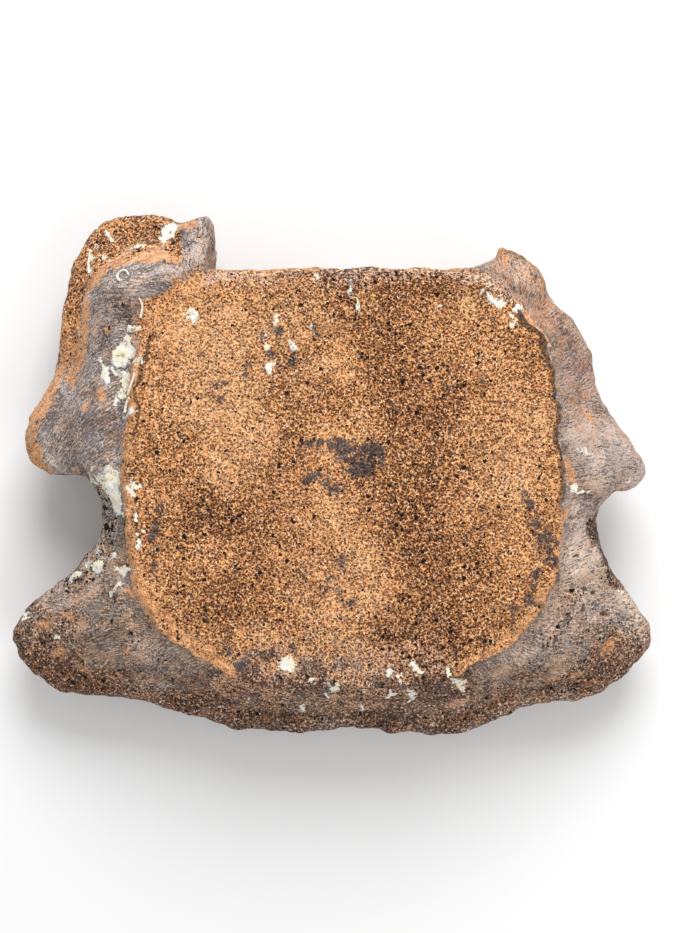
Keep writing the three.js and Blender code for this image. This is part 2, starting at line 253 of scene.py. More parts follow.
def linear(red: int, green: int, blue: int) -> Colour:
    """The linear colour of a screen colour, by the usual screen curve.

    Args:
        red: red part, from 0 to 255.
        green: green part, from 0 to 255.
        blue: blue part, from 0 to 255.

    Returns:
        The same colour in parts from 0 to 1.
    """
    shares = np.array([red, green, blue]) / 255
    curve = np.where(shares > 0.04, ((shares + 0.055) / 1.055) ** 2.4, shares / 12.9)
    return tuple(float(part) for part in curve)


@dataclass(frozen=True)
class Noise:
    """Repeatable noise in space."""

    seed: int

    def draw(self, cells: Array, channel: int) -> Array:
        """Random numbers from 0 to 1 for cells of a lattice, by mixing the bits of their whole numbers.

        Args:
            cells: whole numbers, with x, y and z on the last axis.
            channel: which of the cell's random numbers is meant.

        Returns:
            One number for each cell.
        """
        bits = cells.astype(np.int64).astype(np.uint32)
        start = np.uint32((self.seed * 7919 + channel * 104729) % 2**32)
        mixed = bits[..., 0] * np.uint32(374761393) + bits[..., 1] * np.uint32(668265263)
        mixed = (mixed + bits[..., 2] * np.uint32(2246822519)) ^ start
        mixed = (mixed ^ (mixed >> np.uint32(15))) * np.uint32(2654435761)
        mixed = (mixed ^ (mixed >> np.uint32(13))) * np.uint32(1274126177)
        return (mixed ^ (mixed >> np.uint32(16))) / 2**32

    def grain(self, points: Array, size: float, channel: int = 0) -> Array:
        """Smooth noise from -1 to 1: random heights at the corners of a cubic lattice, blended between them.

        Args:
            points: places, with x, y and z on the last axis.
            size: width of a lattice cell.
            channel: which noise of this size is meant.

        Returns:
            One height for each point.
        """
        corner = np.floor(points / size)
        share = points / size - corner
        blend = share**3 * (share * (share * 6 - 15) + 10)
        total = np.zeros(points.shape[:-1])
        for step in product((0, 1), repeat=3):
            weight = np.where(step, blend, 1 - blend).prod(axis=-1)
            total += weight * self.draw(corner + np.array(step), channel)
        return 2 * total - 1

    def layers(self, points: Array, size: float, count: int, channel: int = 0) -> Array:
        """A sum of noises, each of half the size and half the height of the one before."""
        return sum(self.grain(points, size / 2**step, channel + step) / 2**step for step in range(count))

    def cells(self, points: Array, size: float) -> tuple[Array, Array]:
        """Distances to the nearest of many scattered seeds, one in each cell of a lattice.

        Args:
            points: places, with x, y and z on the last axis.
            size: width of a lattice cell.

        Returns:
            The distance in cell widths, and a random number from 0 to 1 that belongs to the nearest seed.
        """
        home = np.floor(points / size)
        nearest = np.full(points.shape[:-1], np.inf)
        lot = np.zeros(points.shape[:-1])
        for step in product((-1, 0, 1), repeat=3):
            cell = home + np.array(step)
            seed = cell + np.stack([self.draw(cell, axis) for axis in range(3)], axis=-1)
            distance = np.linalg.norm(points / size - seed, axis=-1)
            closer = distance < nearest
            nearest = np.where(closer, distance, nearest)
            lot = np.where(closer, self.draw(cell, 3), lot)
        return nearest, lot


RAGGED = Noise(71)
RAGGED_PATCH = ((4.5, 1.6), (1.9, 1.0))
RAGGED_REGION = ((17, 9), (6, 4), (2.5, 1.5))


def patches(points: Array, places: Rows, soft: float, pushes: Rows = RAGGED_PATCH) -> Array:
    """How deep each point lies inside the nearest of some ragged patches on the plan.

    A patch is an oval, on a plan that noise of some sizes has pushed about. The depth is the oval's smaller
    half width times one minus the point's distance in ovals.

    Args:
        points: places, with x and y first on the last axis.
        places: x, y, half width, half height and turn of each oval.
        soft: the depth that counts as 1.
        pushes: size of each noise and how far it pushes.

    Returns:
        Depths in parts of soft, from -1 well outside to 1 well inside.
    """
    depth = np.full(points.shape[:-1], -1.0)
    pushed = points[..., :2] + sum(
        push * np.stack([RAGGED.grain(points, size, axis) for axis in range(2)], axis=-1)
        for size, push in pushes
    )
    for x, y, wide, high, turn in places:
        cosine, sine = math.cos(math.radians(turn)), math.sin(math.radians(turn))
        right, up = pushed[..., 0] - x, pushed[..., 1] - y
        far = np.hypot((right * cosine + up * sine) / wide, (up * cosine - right * sine) / high)
        depth = np.maximum(depth, (1 - far) * min(wide, high) / soft)
    return np.clip(depth, -1, 1)


@dataclass(frozen=True)
class EndFace:
    """One end face of the body: a rounded square."""

    half_width: float
    half_height: float
    x: float
    y: float
    dish: float

    def plan(self, across: Array, up: Array, squareness: float, rise: float) -> tuple[Array, Array]:
        """Draws each square of a grid in to a rounded square, |cos|^power + |sin|^power = 1.

        Args:
            across: place across the face, from -1 to 1.
            up: place up the face, from -1 to 1.
            squareness: the power at the sides.
            rise: what the dorsal edge has more, and the ventral one less.

        Returns:
            x and y on the plan.
        """
        way = np.arctan2(up, across)
        power = squareness + rise * np.sin(way)
        cosine, sine = np.abs(np.cos(way)), np.abs(np.sin(way))
        draw = np.maximum(cosine, sine) / (cosine**power + sine**power) ** (1 / power)
        return self.x + self.half_width * across * draw, self.y + self.half_height * up * draw


@dataclass(frozen=True)
class Sides:
    """The bone's sides as a grid: one line for each station, from the upper rim to the lower rim."""

    points: Array
    at: Array
    from_rim: Array
    share: Array
    flank: int


@dataclass(frozen=True)
class BoneForm:
    """The whole bone's smooth form, which the solids have too."""

    length: float = 58
    upper: EndFace = EndFace(72.5, 70, 4.6, -1.9, 2.2)
    lower: EndFace = EndFace(71, 66.5, 4.6, -1.5, 3.5)
    squareness: float = 3.1
    squareness_rise: float = 0.35
    ventral_roll: float = 5
    lower_ring: float = 0.86
    groove_from_rim: float = 5
    groove_width: float = 3.6
    crown_lean: float = 1.45
    flank_ease: float = 0.35
    most_rounding: float = 0.6
    groove_start: float = 2.5
    groove_fade: float = 6
    crowding: float = 1.4
    outline_steps: int = 2000

    def middle(self) -> Array:
        """The middle of the outline's box, which lies over the origin."""
        plan = self.outline(np.linspace(0, 4, self.outline_steps, endpoint=False))
        return np.append((plan.min(axis=0) + plan.max(axis=0)) / 2, 0)

    def upper_face(self, across: Array, up: Array) -> Array:
        """The upper end face: a rounded square, dished as 1 - size^4 and rolled down ventrally as up^3.

        Args:
            across: place across the face, from -1 to 1.
            up: place up the face, from -1 to 1.

        Returns:
            The points.
        """
        size = np.maximum(np.abs(across), np.abs(up))
        roll = self.ventral_roll * np.maximum(0, -up) ** 3
        plan = self.upper.plan(across, up, self.squareness, self.squareness_rise)
        return np.stack([*plan, self.length - roll - self.upper.dish * (1 - size**4)], axis=-1)

    def lower_face(self, across: Array, up: Array) -> Array:
        """The lower end face: a rounded square with a flat ring, and a dish with an S-curve inside it.

        Args:
            across: place across the face, from -1 to 1.
            up: place up the face, from -1 to 1.

        Returns:
            The points.
        """
        size = np.maximum(np.abs(across), np.abs(up))
        plan = self.lower.plan(across, up, self.squareness, self.squareness_rise)
        return np.stack([*plan, self.lower.dish * ease(0, 1, 1 - size / self.lower_ring)], axis=-1)

    def between(self, stations: Array, at: Array) -> tuple[Array, Array]:
        """Finds where places on the closed ring lie among some stations.

        Args:
            stations: the stations, in rising order.
            at: the places, from 0 to 4.

        Returns:
            The number of the station before each place, and the share of the way to the next one.
        """
        place = np.where(at < stations[0], at + 4, at)
        first = np.searchsorted(stations, place, side="right") - 1
        last = np.append(stations, stations[0] + 4)[first + 1]
        return first, (place - stations[first]) / (last - stations[first])

    def outline(self, at: Array) -> Array:
        """The outline on the plan: a closed centripetal Catmull-Rom curve through its landmarks.

        Each stretch is a cubic with the slopes that gaps of the square root of the landmarks' distances give.

        Args:
            at: stations.

        Returns:
            x and y for each station.
        """
        first, share = self.between(OUTLINE[:, 0], at)
        before, start, end, after = (OUTLINE[(first + step) % len(OUTLINE), 1:] for step in (-1, 0, 1, 2))
        pairs = ((before, start), (start, end), (end, after))
        gaps = (np.linalg.norm(there - here, axis=-1, keepdims=True) ** 0.5 for here, there in pairs)
        gap_in, gap, gap_out = gaps
        leave = (start - before) / gap_in - (end - before) / (gap_in + gap) + (end - start) / gap
        arrive = (end - start) / gap - (after - start) / (gap + gap_out) + (after - end) / gap_out
        way = share[:, None]
        bend = (way**3 - 2 * way**2 + way) * leave * gap + (way**3 - way**2) * arrive * gap
        return mix(start, end, 3 * way**2 - 2 * way**3) + bend

    def section(self, at: Array) -> Array:
        """The cross-sections' sizes, with an S-curve from one section to the next.

        Args:
            at: stations.

        Returns:
            Upper edge, lower edge, crown, groove and rounding for each station.
        """
        first, share = self.between(SECTIONS[:, 0], at)
        second = (first + 1) % len(SECTIONS)
        return mix(SECTIONS[first, 1:], SECTIONS[second, 1:], ease(0, 1, share)[:, None])

    def sides(self, steps: int, flank: int, wall: int, under: int) -> Sides:
        """The bone's sides as a function of the station and the way down.

        The flank goes from the upper rim to the outer wall's shoulder, with a crown of sin(pi way^lean) and
        a bell-shaped groove beside the rim. The wall is half an ellipse. The underside goes in to the lower
        rim.

        Args:
            steps: squares along each side of an end face.
            flank: rows of the flank.
            wall: rows of the outer wall.
            under: rows of the underside.

        Returns:
            The grid of points, stations first.
        """
        at = np.arange(4 * steps) / steps
        side, along = np.floor(at).astype(int), 2 * (at % 1) - 1
        one = np.ones_like(at)
        across = np.choose(side, [one, -along, -one, along])
        up = np.choose(side, [along, one, -along, -one])
        rim, foot = self.upper_face(across, up)[:, None], self.lower_face(across, up)[:, None]
        top, bottom, crown, groove, rounding = (size[:, None] for size in self.section(at).T)
        out = self.outline(at)[:, None] - rim[..., :2]
        reach = np.linalg.norm(out, axis=-1)
        out = np.concatenate([out / reach[..., None], np.zeros_like(rim[..., :1])], axis=-1)
        rounding = np.minimum(rounding, self.most_rounding * reach)
        shoulder = rim + out * (reach - rounding)[..., None]

        outward = (np.arange(flank + 1) / flank) ** self.crowding
        fall = mix(outward, ease(0, 1, outward), self.flank_ease)
        from_rim = outward * (reach - rounding)
        bell = np.exp(-(((from_rim - self.groove_from_rim) / self.groove_width) ** 2))
        bell = bell * ease(0, self.groove_start, from_rim)
        hump = crown * np.sin(np.pi * outward**self.crown_lean)
        hollow = groove * bell * (1 - outward**self.groove_fade)
        flank_points = mix(rim, shoulder, outward[None, :, None])
        flank_points[..., 2] = mix(rim[..., 2], top, fall) + hump - hollow

        turn = np.pi * (0.5 - np.arange(1, wall + 1) / wall)
        wall_points = shoulder + out * (rounding * np.cos(turn))[..., None]
        wall_points[..., 2] = (top + bottom) / 2 + (top - bottom) / 2 * np.sin(turn)

        inward = np.arange(1, under + 1) / under
        under_points = mix(shoulder, foot, inward[None, :, None])
        under_points[..., 2] = bottom * (1 - mix(inward, ease(0, 1, inward), self.flank_ease))

        points = np.concatenate([flank_points, wall_points, under_points], axis=1) - self.middle()
        steps_down = np.linalg.norm(np.diff(points, axis=1), axis=-1)
        way = np.concatenate([np.zeros((len(at), 1)), np.cumsum(steps_down, axis=1)], axis=1)
        share = np.concatenate([outward, 1 + np.arange(1, wall + 1) / wall, 2 + inward])
        return Sides(points, at[:, None], way, np.broadcast_to(share, way.shape), flank)


def normals(points: Array) -> Array:
    """Unit normals of a grid of points: the cross product of its differences along both ways.

    Args:
        points: the grid, with x, y and z on the last axis, closed on itself along the first way.

    Returns:
        One normal for each point.
    """
    along = np.roll(points, -1, axis=0) - np.roll(points, 1, axis=0)
    normal = np.cross(np.gradient(points, axis=1), along)
    return normal / np.maximum(np.linalg.norm(normal, axis=-1, keepdims=True), 1e-9)


def corners(grid: Array) -> Array:
    """What a grid holds at the four corners of each of its squares.

    Args:
        grid: numbers or rows of numbers, with the two ways along the grid first.

    Returns:
        Four of them for each square.
    """
    four = [grid[:-1, :-1], grid[:-1, 1:], grid[1:, 1:], grid[1:, :-1]]
    return np.stack(four, axis=2).reshape(-1, 4, *grid.shape[2:])


def sunk(rim: Array, inset: float, depth: float) -> Array:
    """A copy of a ring of points, drawn in towards its middle and lowered.

    Args:
        rim: the ring.
        inset: how far each point is drawn in.
        depth: how far each point is lowered.

    Returns:
        The new ring.
    """
    inward = rim.mean(axis=0) - rim
    ring = rim + inward * (inset / np.linalg.norm(inward, axis=1, keepdims=True))
    ring[:, 2] = rim[:, 2] - depth
    return ring


class Value:
    """A socket of a material's nodes. Sums, differences and products add Math nodes."""

    def __init__(self, shader: "Shader", socket: bpy.types.NodeSocket) -> None:
        """Keeps the socket and the shader that it belongs to."""
        self.shader = shader
        self.socket = socket

    def __add__(self, other: Input) -> "Value":
        """Adds a value."""
        return self.shader.maths("ADD", self, other)

    def __radd__(self, other: Input) -> "Value":
        """Is added to a number."""
        return self.shader.maths("ADD", other, self)

    def __sub__(self, other: Input) -> "Value":
        """Takes a value away."""
        return self.shader.maths("SUBTRACT", self, other)

    def __rsub__(self, other: Input) -> "Value":
        """Is taken away from a number."""
        return self.shader.maths("SUBTRACT", other, self)

    def __mul__(self, other: Input) -> "Value":
        """Multiplies by a value."""
        return self.shader.maths("MULTIPLY", self, other)

    def __rmul__(self, other: Input) -> "Value":
        """Multiplies a number."""
        return self.shader.maths("MULTIPLY", other, self)


class Shader:
    """One material, with its nodes written as expressions."""

    def __init__(self, name: str) -> None:
        """Starts a material without nodes.

        Args:
            name: name of the material.
        """
        self.material = bpy.data.materials.new(name)
        self.material.use_nodes = True
        self.tree = self.material.node_tree
        self.tree.nodes.clear()

    def add(self, kind: str, settings: dict[str, str], inputs: dict[Key, Input]) -> bpy.types.Node:
        """Adds a node.

        Args:
            kind: the node's type.
            settings: attributes, which are set first.
            inputs: socket names or numbers, with a value or a link each.

        Returns:
            The node.
        """
        node = self.tree.nodes.new(kind)
        for key, setting in settings.items():
            setattr(node, key, setting)
        for key, given in inputs.items():
            socket = node.inputs[key]
            if isinstance(given, Value):
                self.tree.links.new(given.socket, socket)
            elif isinstance(given, tuple) and socket.type == "RGBA":
                socket.default_value = (*given, 1)
            else:
                socket.default_value = given
        return node

    def node(self, kind: str, settings: dict[str, str], inputs: dict[Key, Input], output: Key = 0) -> Value:
        """Adds a node and gives one of its outputs, by name or number."""
        return Value(self, self.add(kind, settings, inputs).outputs[output])

    def maths(self, operation: str, first: Input, second: Input) -> Value:
        """Adds a Math node for two numbers."""
        return self.node("ShaderNodeMath", {"operation": operation}, {0: first, 1: second})

    def most(self, first: Input, second: Input) -> Value:
        """The larger of two numbers."""
        return self.maths("MAXIMUM", first, second)

    def mark(self, mark: Mark) -> Value:
        """Reads one of the numbers that the points carry."""
        return self.node("ShaderNodeAttribute", {"attribute_name": mark.value}, {}, "Fac")

    def blend(self, share: Input, low: Input, high: Input) -> Value:
        """Mixes two colours."""
        inputs = {0: share, 6: low, 7: high}
        return self.node("ShaderNodeMix", {"data_type": "RGBA"}, inputs, 2)

    def ease(self, low: Input, high: Input, value: Value) -> Value:
        """Goes from 0 to 1 along an S-curve as value goes from low to high."""
        inputs = {"Value": value, "From Min": low, "From Max": high}
        return self.node("ShaderNodeMapRange", {"interpolation_type": "SMOOTHSTEP"}, inputs)

    def scaled(self, vector: Value, scale: float) -> Value:
        """Scales a vector."""
        return self.node("ShaderNodeVectorMath", {"operation": "SCALE"}, {0: vector, "Scale": scale})

    def stretched(self, vector: Value, sizes: Triple) -> Value:
        """Divides a vector's parts by a size each."""
        return self.node("ShaderNodeVectorMath", {"operation": "DIVIDE"}, {0: vector, 1: sizes})

    def moved(self, vector: Value, by: Value) -> Value:
        """Adds a vector to a vector."""
        return self.node("ShaderNodeVectorMath", {"operation": "ADD"}, {0: vector, 1: by})

    def noise(self, vector: Value, size: float, detail: float = 2, output: str = "Fac") -> Value:
        """Smooth noise from 0 to 1 with lumps of a size in the vector's units."""
        inputs = {"Vector": vector, "Scale": 1 / size, "Detail": detail, "Roughness": 0.6}
        return self.node("ShaderNodeTexNoise", {}, inputs, output)

    def shaken(self, vector: Value, place: Value, size: float, detail: float, far: float) -> Value:
        """Moves a vector about by noise with lumps of a size, as far as is said."""
        return self.moved(vector, self.scaled(self.noise(place, size, detail, "Color"), far))

    def cells(self, vector: Value, size: float) -> tuple[Value, Value]:
        """Scattered seeds, one in each cell of a lattice.

        Args:
            vector: coordinates.
            size: width of a lattice cell, in the vector's units.

        Returns:
            The distance to the nearest seed in cell widths, and a random number from 0 to 1 for each seed.
        """
        seeds = self.add("ShaderNodeTexVoronoi", {}, {"Vector": vector, "Scale": 1 / size})
        tone = Value(self, seeds.outputs["Color"])
        lot = self.node("ShaderNodeSeparateColor", {}, {"Color": tone}, "Red")
        return Value(self, seeds.outputs["Distance"]), lot

    def bump(self, height: Value, depth: float) -> Value:
        """The normal of a relief, with its height in parts of a depth in metres."""
        return self.node("ShaderNodeBump", {}, {"Height": height, "Distance": depth, "Strength": 1})

    def finish(self, inputs: dict[Key, Input]) -> bpy.types.Material:
        """Ends the nodes with a plain surface.

        Args:
            inputs: the surface's sockets, with a value or a link each.

        Returns:
            The finished material.
        """
        surface = self.node("ShaderNodeBsdfPrincipled", {}, inputs)
        self.add("ShaderNodeOutputMaterial", {}, {"Surface": surface})
        return self.material


@dataclass(frozen=True)
class Pores:
    """How far a point is in a fine pore, in a wide pore, and up between the pores, from 0 to 1 each."""

    fine: Value
    wide: Value
    highlit_crest: Value


@dataclass(frozen=True)
class Fray:
    """Three noises from -0.5 to 0.5 that make borders ragged, torn and finely frayed."""

    ragged: Value
    torn: Value
    fine: Value


@dataclass(frozen=True)
class SpongyTones:
    """Colours of the open spongy bone."""

    deep: Colour = linear(161, 99, 55)
    warm: Colour = linear(227, 155, 95)
    # painted highlight on the crests between the pores
    highlit_crest: Colour = linear(255, 214, 160)
    tan: Colour = linear(216, 162, 116)
    brown: Colour = linear(138, 84, 48)
    shade: Colour = linear(62, 31, 14)
    dust: Colour = linear(204, 174, 158)
    # painted shade: near black in the wide pores
    hole: Colour = linear(18, 8, 3)


@dataclass(frozen=True)
class OuterTones:
    """Colours of the fibrous outer bone and of what lies on it."""

    dark: Colour = linear(82, 67, 58)
    grey: Colour = linear(146, 124, 108)
    light: Colour = linear(226, 204, 186)
    slate_dark: Colour = linear(76, 67, 66)
    slate_grey: Colour = linear(140, 127, 122)
    slate_light: Colour = linear(216, 206, 200)
    warm: Colour = linear(196, 158, 128)
    cool: Colour = linear(158, 150, 150)
    # painted highlight on the ridges of pitted bone
    ridge_highlight: Colour = linear(246, 212, 182)
    rust: Colour = linear(206, 142, 94)
    umber: Colour = linear(110, 72, 50)
    ochre: Colour = linear(238, 180, 128)
    ochre_deep: Colour = linear(196, 128, 82)
    # dark specks of grime, and painted shade in grooves, pores and dents
    dirt: Colour = linear(45, 26, 17)
    stain: Colour = linear(66, 55, 54)
    stain_light: Colour = linear(128, 116, 118)
    glint: Colour = linear(226, 224, 230)
    cream: Colour = linear(240, 232, 206)
    chalk: Colour = linear(232, 232, 226)


@dataclass(frozen=True)
class WeatheredBone:
    """The bone's finish: spongy bone, outer bone, stains and crusts, with painted shade and painted
    highlights, laid over one another by the marks.

    Sizes of pores and of noise are in millimetres, and those of fibres, across and along them, in metres.
    Each size of pore comes with the least radius of a fine pore or the rarity of a wide one, in cell widths,
    and each size of noise with its detail and, where it moves something, how far. Pores and spots are longer
    along the bone than across it, by the number upright.
    """

    spongy: SpongyTones = SpongyTones()
    outer: OuterTones = OuterTones()
    wide_pores: Rows = ((2.3, 0.62), (1.15, 0.5))
    fine_pores: Rows = ((0.82, 0.24), (0.54, 0.18))
    widening: float = 0.26
    most_open: float = 0.8
    wide_radius: float = 0.62
    bend: Triple = (0.7, 1, 0.6)
    twist: Triple = (1.7, 2, 1.6)
    sway: Triple = (16, 0, 0.005)
    fray: Rows = ((1.0, 3), (3.2, 4), (0.6, 2))
    long_fibre: Triple = (0.0065, 0.1, 1)
    short_fibre: Triple = (0.0042, 0.024, 1)
    broad_streak: Triple = (0.012, 0.06, 1)
    fibre_lumps: float = 0.1
    upright: float = 2.2
    depth: float = 0.7 * MM
    sheen: float = 0.3

    def pores(self, shader: Shader, place: Value) -> Pores:
        """Many fine pores of two sizes, and scattered wide ones.

        A point is in a pore where the distance to the nearest seed is less than the pore's own radius, which
        is part chance and part how open the bone is.

        Args:
            shader: the material's nodes.
            place: coordinates in millimetres.

        Returns:
            The pores.
        """
        bent = shader.shaken(place, place, *self.bend)
        twisted = shader.shaken(bent, place, *self.twist)
        openness = shader.mark(Mark.OPEN) + 0.9 * (shader.noise(place, 2.6, 2) - 0.5)
        narrow = shader.maths("MINIMUM", openness, self.most_open)
        fine = wide = highlit_crest = None
        for size, least in self.fine_pores:
            distance, lot = shader.cells(bent, size)
            radius = least + self.widening * narrow + self.widening * (lot - 0.5)
            hole = 1 - shader.ease(radius - 0.08, radius + 0.02, distance)
            fine = shader.most(fine, hole) if fine else hole
            highlit_crest = highlit_crest or shader.ease(radius + 0.04, radius + 0.26, distance)
        for size, rarity in self.wide_pores:
            distance, lot = shader.cells(twisted, size)
            radius = (lot - rarity + 0.3 * openness) * self.wide_radius
            hole = 1 - shader.ease(radius - 0.05, radius + 0.03, distance)
            wide = shader.most(wide, hole) if wide else hole
        return Pores(fine, wide, highlit_crest)

    def spongy_colour(self, shader: Shader, place: Value, holes: Pores) -> Value:
        """Ochre struts with painted highlights on their crests, over pores darkened with painted shade.

        Args:
            shader: the material's nodes.
            place: coordinates in millimetres.
            holes: the pores.

        Returns:
            The colour.
        """
        tones = self.spongy
        speckle = shader.noise(place, 0.9, 3)
        cloud = shader.noise(place, 6, 4)
        brown, pale = shader.mark(Mark.BROWN), shader.mark(Mark.PALE)
        colour = shader.blend(shader.ease(0.34, 0.6, speckle), tones.deep, tones.warm)
        colour = shader.blend(pale * 0.55, colour, tones.tan)
        colour = shader.blend(brown * (0.2 + 0.45 * cloud), colour, tones.brown)
        dust = shader.mark(Mark.DUST) + 0.3 * shader.ease(0.5, 0.66, shader.noise(place, 2.6, 4))
        colour = shader.blend(dust, colour, tones.dust)
        highlight_patches = shader.ease(0.46, 0.64, shader.noise(place, 0.6, 2))
        # painted highlight on the crests between the pores, in patches
        colour = shader.blend(holes.highlit_crest * highlight_patches * (0.95 - 0.2 * brown), colour, tones.highlit_crest)
        colour = shader.blend(holes.fine * (0.74 + 0.24 * shader.mark(Mark.OPEN)), colour, tones.shade)
        # painted shade in the wide pores
        return shader.blend(holes.wide, colour, tones.hole)

    def fibres(self, shader: Shader, place: Value, drift: Value) -> tuple[Value, Value]:
        """Fibres that run down the flanks, part long, part short and part grain, and the rust among them.

        Args:
            shader: the material's nodes.
            place: coordinates in millimetres.
            drift: noise that the rust follows too.

        Returns:
            How pale the fibres and how rusty the streaks are, from 0 to 1 each.
        """
        run = shader.node("ShaderNodeUVMap", {"uv_map": FIBRE_MAP}, {})
        run = shader.shaken(run, place, *self.sway)
        long = shader.noise(shader.stretched(run, self.long_fibre), self.fibre_lumps, 2)
        short = shader.noise(shader.stretched(run, self.short_fibre), self.fibre_lumps, 2)
        streak = shader.noise(shader.stretched(run, self.broad_streak), self.fibre_lumps, 3)
        grain = shader.noise(place, 0.65, 3)
        return 0.22 * long + 0.36 * short + 0.42 * grain, 0.35 * streak + 0.45 * short + 0.2 * drift

    def outer_colour(self, shader: Shader, place: Value, holes: Pores) -> tuple[Value, Value]:
        """Grey-brown bone with streaks that run down the flanks, rusty in places and pitted at the breaks,
        with painted highlights on the ridges and painted shade in the pits.

        Args:
            shader: the material's nodes.
            place: coordinates in millimetres.
            holes: the pores.

        Returns:
            The colour, and how pale the fibres are.
        """
        tones = self.outer
        cloud = shader.noise(place, 13, 4)
        drift = shader.noise(place, 4, 3)
        tint = shader.noise(place, 8, 4)
        fibre, streak = self.fibres(shader, place, drift)
        pale, rusty, brown = (shader.mark(mark) for mark in (Mark.PALE, Mark.RUST, Mark.BROWN))
        tone = 0.5 + (fibre - 0.5) * (1.7 - 0.5 * pale) + 0.35 * (cloud - 0.5) + 0.2 * (drift - 0.5)
        slate = shader.mark(Mark.SLATE)
        dark = shader.blend(slate, tones.dark, tones.slate_dark)
        grey = shader.blend(slate, tones.grey, tones.slate_grey)
        light = shader.blend(slate, tones.light, tones.slate_light)
        colour = shader.blend(shader.ease(0.36, 0.56, tone), dark, grey)
        colour = shader.blend(shader.ease(0.48, 0.7, tone + 0.14 * pale), colour, light)
        colour = shader.blend(shader.ease(0.46, 0.62, tint) * (0.5 - 0.25 * slate), colour, tones.warm)
        colour = shader.blend(shader.ease(0.5, 0.36, tint) * 0.35, colour, tones.cool)
        rust = shader.ease(0.57 - 0.13 * rusty, 0.63 - 0.09 * rusty, streak)
        colour = shader.blend(rust * (0.55 + 0.25 * rusty), colour, tones.rust)
        colour = shader.blend(brown * (1.05 - 0.9 * fibre), colour, tones.umber)

        pits = shader.mark(Mark.PITTED)
        flecks = shader.ease(0.53, 0.59, 0.45 * drift + 0.55 * shader.noise(place, 1.3, 3))
        colour = shader.blend(flecks * pits * (0.5 + 0.4 * rusty), colour, tones.rust)
        # painted highlight on the ridges between the pits
        ridge_highlight = shader.ease(0.5, 0.62, shader.noise(place, 1, 3)) * holes.highlit_crest
        colour = shader.blend(ridge_highlight * pits * 0.85, colour, tones.ridge_highlight)
        # painted shade in the fine and wide pores of pitted bone
        colour = shader.blend(holes.fine * pits * 0.9, colour, tones.dirt)
        colour = shader.blend(holes.wide * shader.ease(0.1, 0.5, pits), colour, self.spongy.hole)
        speck = shader.ease(0.62, 0.7, shader.noise(place, 1.3, 2))
        return shader.blend(speck * (0.5 - 0.5 * pale), colour, tones.dirt), fibre

    def ochre_colour(self, shader: Shader, mottle: Value, fibre: Value, holes: Pores) -> Value:
        """The smooth ochre bands and patches, darker between their fibres, with painted shade in their pores.

        Args:
            shader: the material's nodes.
            mottle: noise from 0 to 1.
            fibre: how pale the fibres are.
            holes: the pores.

        Returns:
            The colour.
        """
        tones = self.outer
        pale = shader.ease(0.38, 0.58, 0.4 * mottle + 0.6 * fibre)
        colour = shader.blend(pale, tones.ochre_deep, tones.ochre)
        colour = shader.blend(shader.ease(0.45, 0.37, fibre) * 0.7, colour, tones.dirt)
        # painted shade in the pores
        colour = shader.blend(holes.fine * 0.3, colour, self.spongy.shade)
        return shader.blend(holes.wide * 0.9, colour, self.spongy.hole)

    def stain_colour(self, shader: Shader, mottle: Value, fray: Fray, bare: Value) -> Value:
        """The dark stains, with lighter blooms and small glints, over open pores that hold painted shade.

        Args:
            shader: the material's nodes.
            mottle: noise from 0 to 1.
            fray: the noises of ragged borders.
            bare: how far a point is in a pore of the spongy bone.

        Returns:
            The colour.
        """
        tones = self.outer
        colour = shader.blend(shader.ease(0.5, 0.68, mottle), tones.stain, tones.stain_light)
        colour = shader.blend(shader.ease(0.2, 0.26, fray.fine) * 0.8, colour, tones.glint)
        # painted shade in the pores under the stains
        return shader.blend(bare * 0.8, colour, self.spongy.hole)

    def relief(self, shader: Shader, fray: Fray, fibre: Value, holes: Pores) -> Value:
        """The fine relief: pores and struts, fibres, ragged ground and raised crusts.

        It is worked out three times at each point, so it leaves out the wide pores and the finer noise.

        Args:
            shader: the material's nodes.
            fray: the noises of ragged borders.
            fibre: how pale the fibres are.
            holes: the pores.

        Returns:
            The height, in parts of the finish's depth.
        """
        ragged = fray.ragged
        spongy = shader.ease(0.4, 0.6, shader.mark(Mark.SPONGY) + ragged * 0.7)
        ochre = shader.ease(-0.04, 0.14, shader.mark(Mark.OCHRE) + ragged * 0.9)
        stain = shader.ease(-0.05, 0.3, shader.mark(Mark.STAIN) + ragged * 3)
        crust = shader.ease(0, 0.12, shader.mark(Mark.CRUST) + ragged * 2.4)
        covered = shader.most(stain * 0.5, crust)
        struts = (holes.highlit_crest * 0.3 - holes.fine * 0.55) * spongy * (1 - ochre * 0.6)
        pitted = (holes.highlit_crest * 0.5 - holes.fine * 0.55) * shader.mark(Mark.PITTED)
        rough = (fibre - 0.5) * 0.9 + pitted
        ground = (struts + rough * (1 - spongy)) * (1 - covered)
        return ground + ragged * 0.4 + crust * 0.3 + stain * ragged

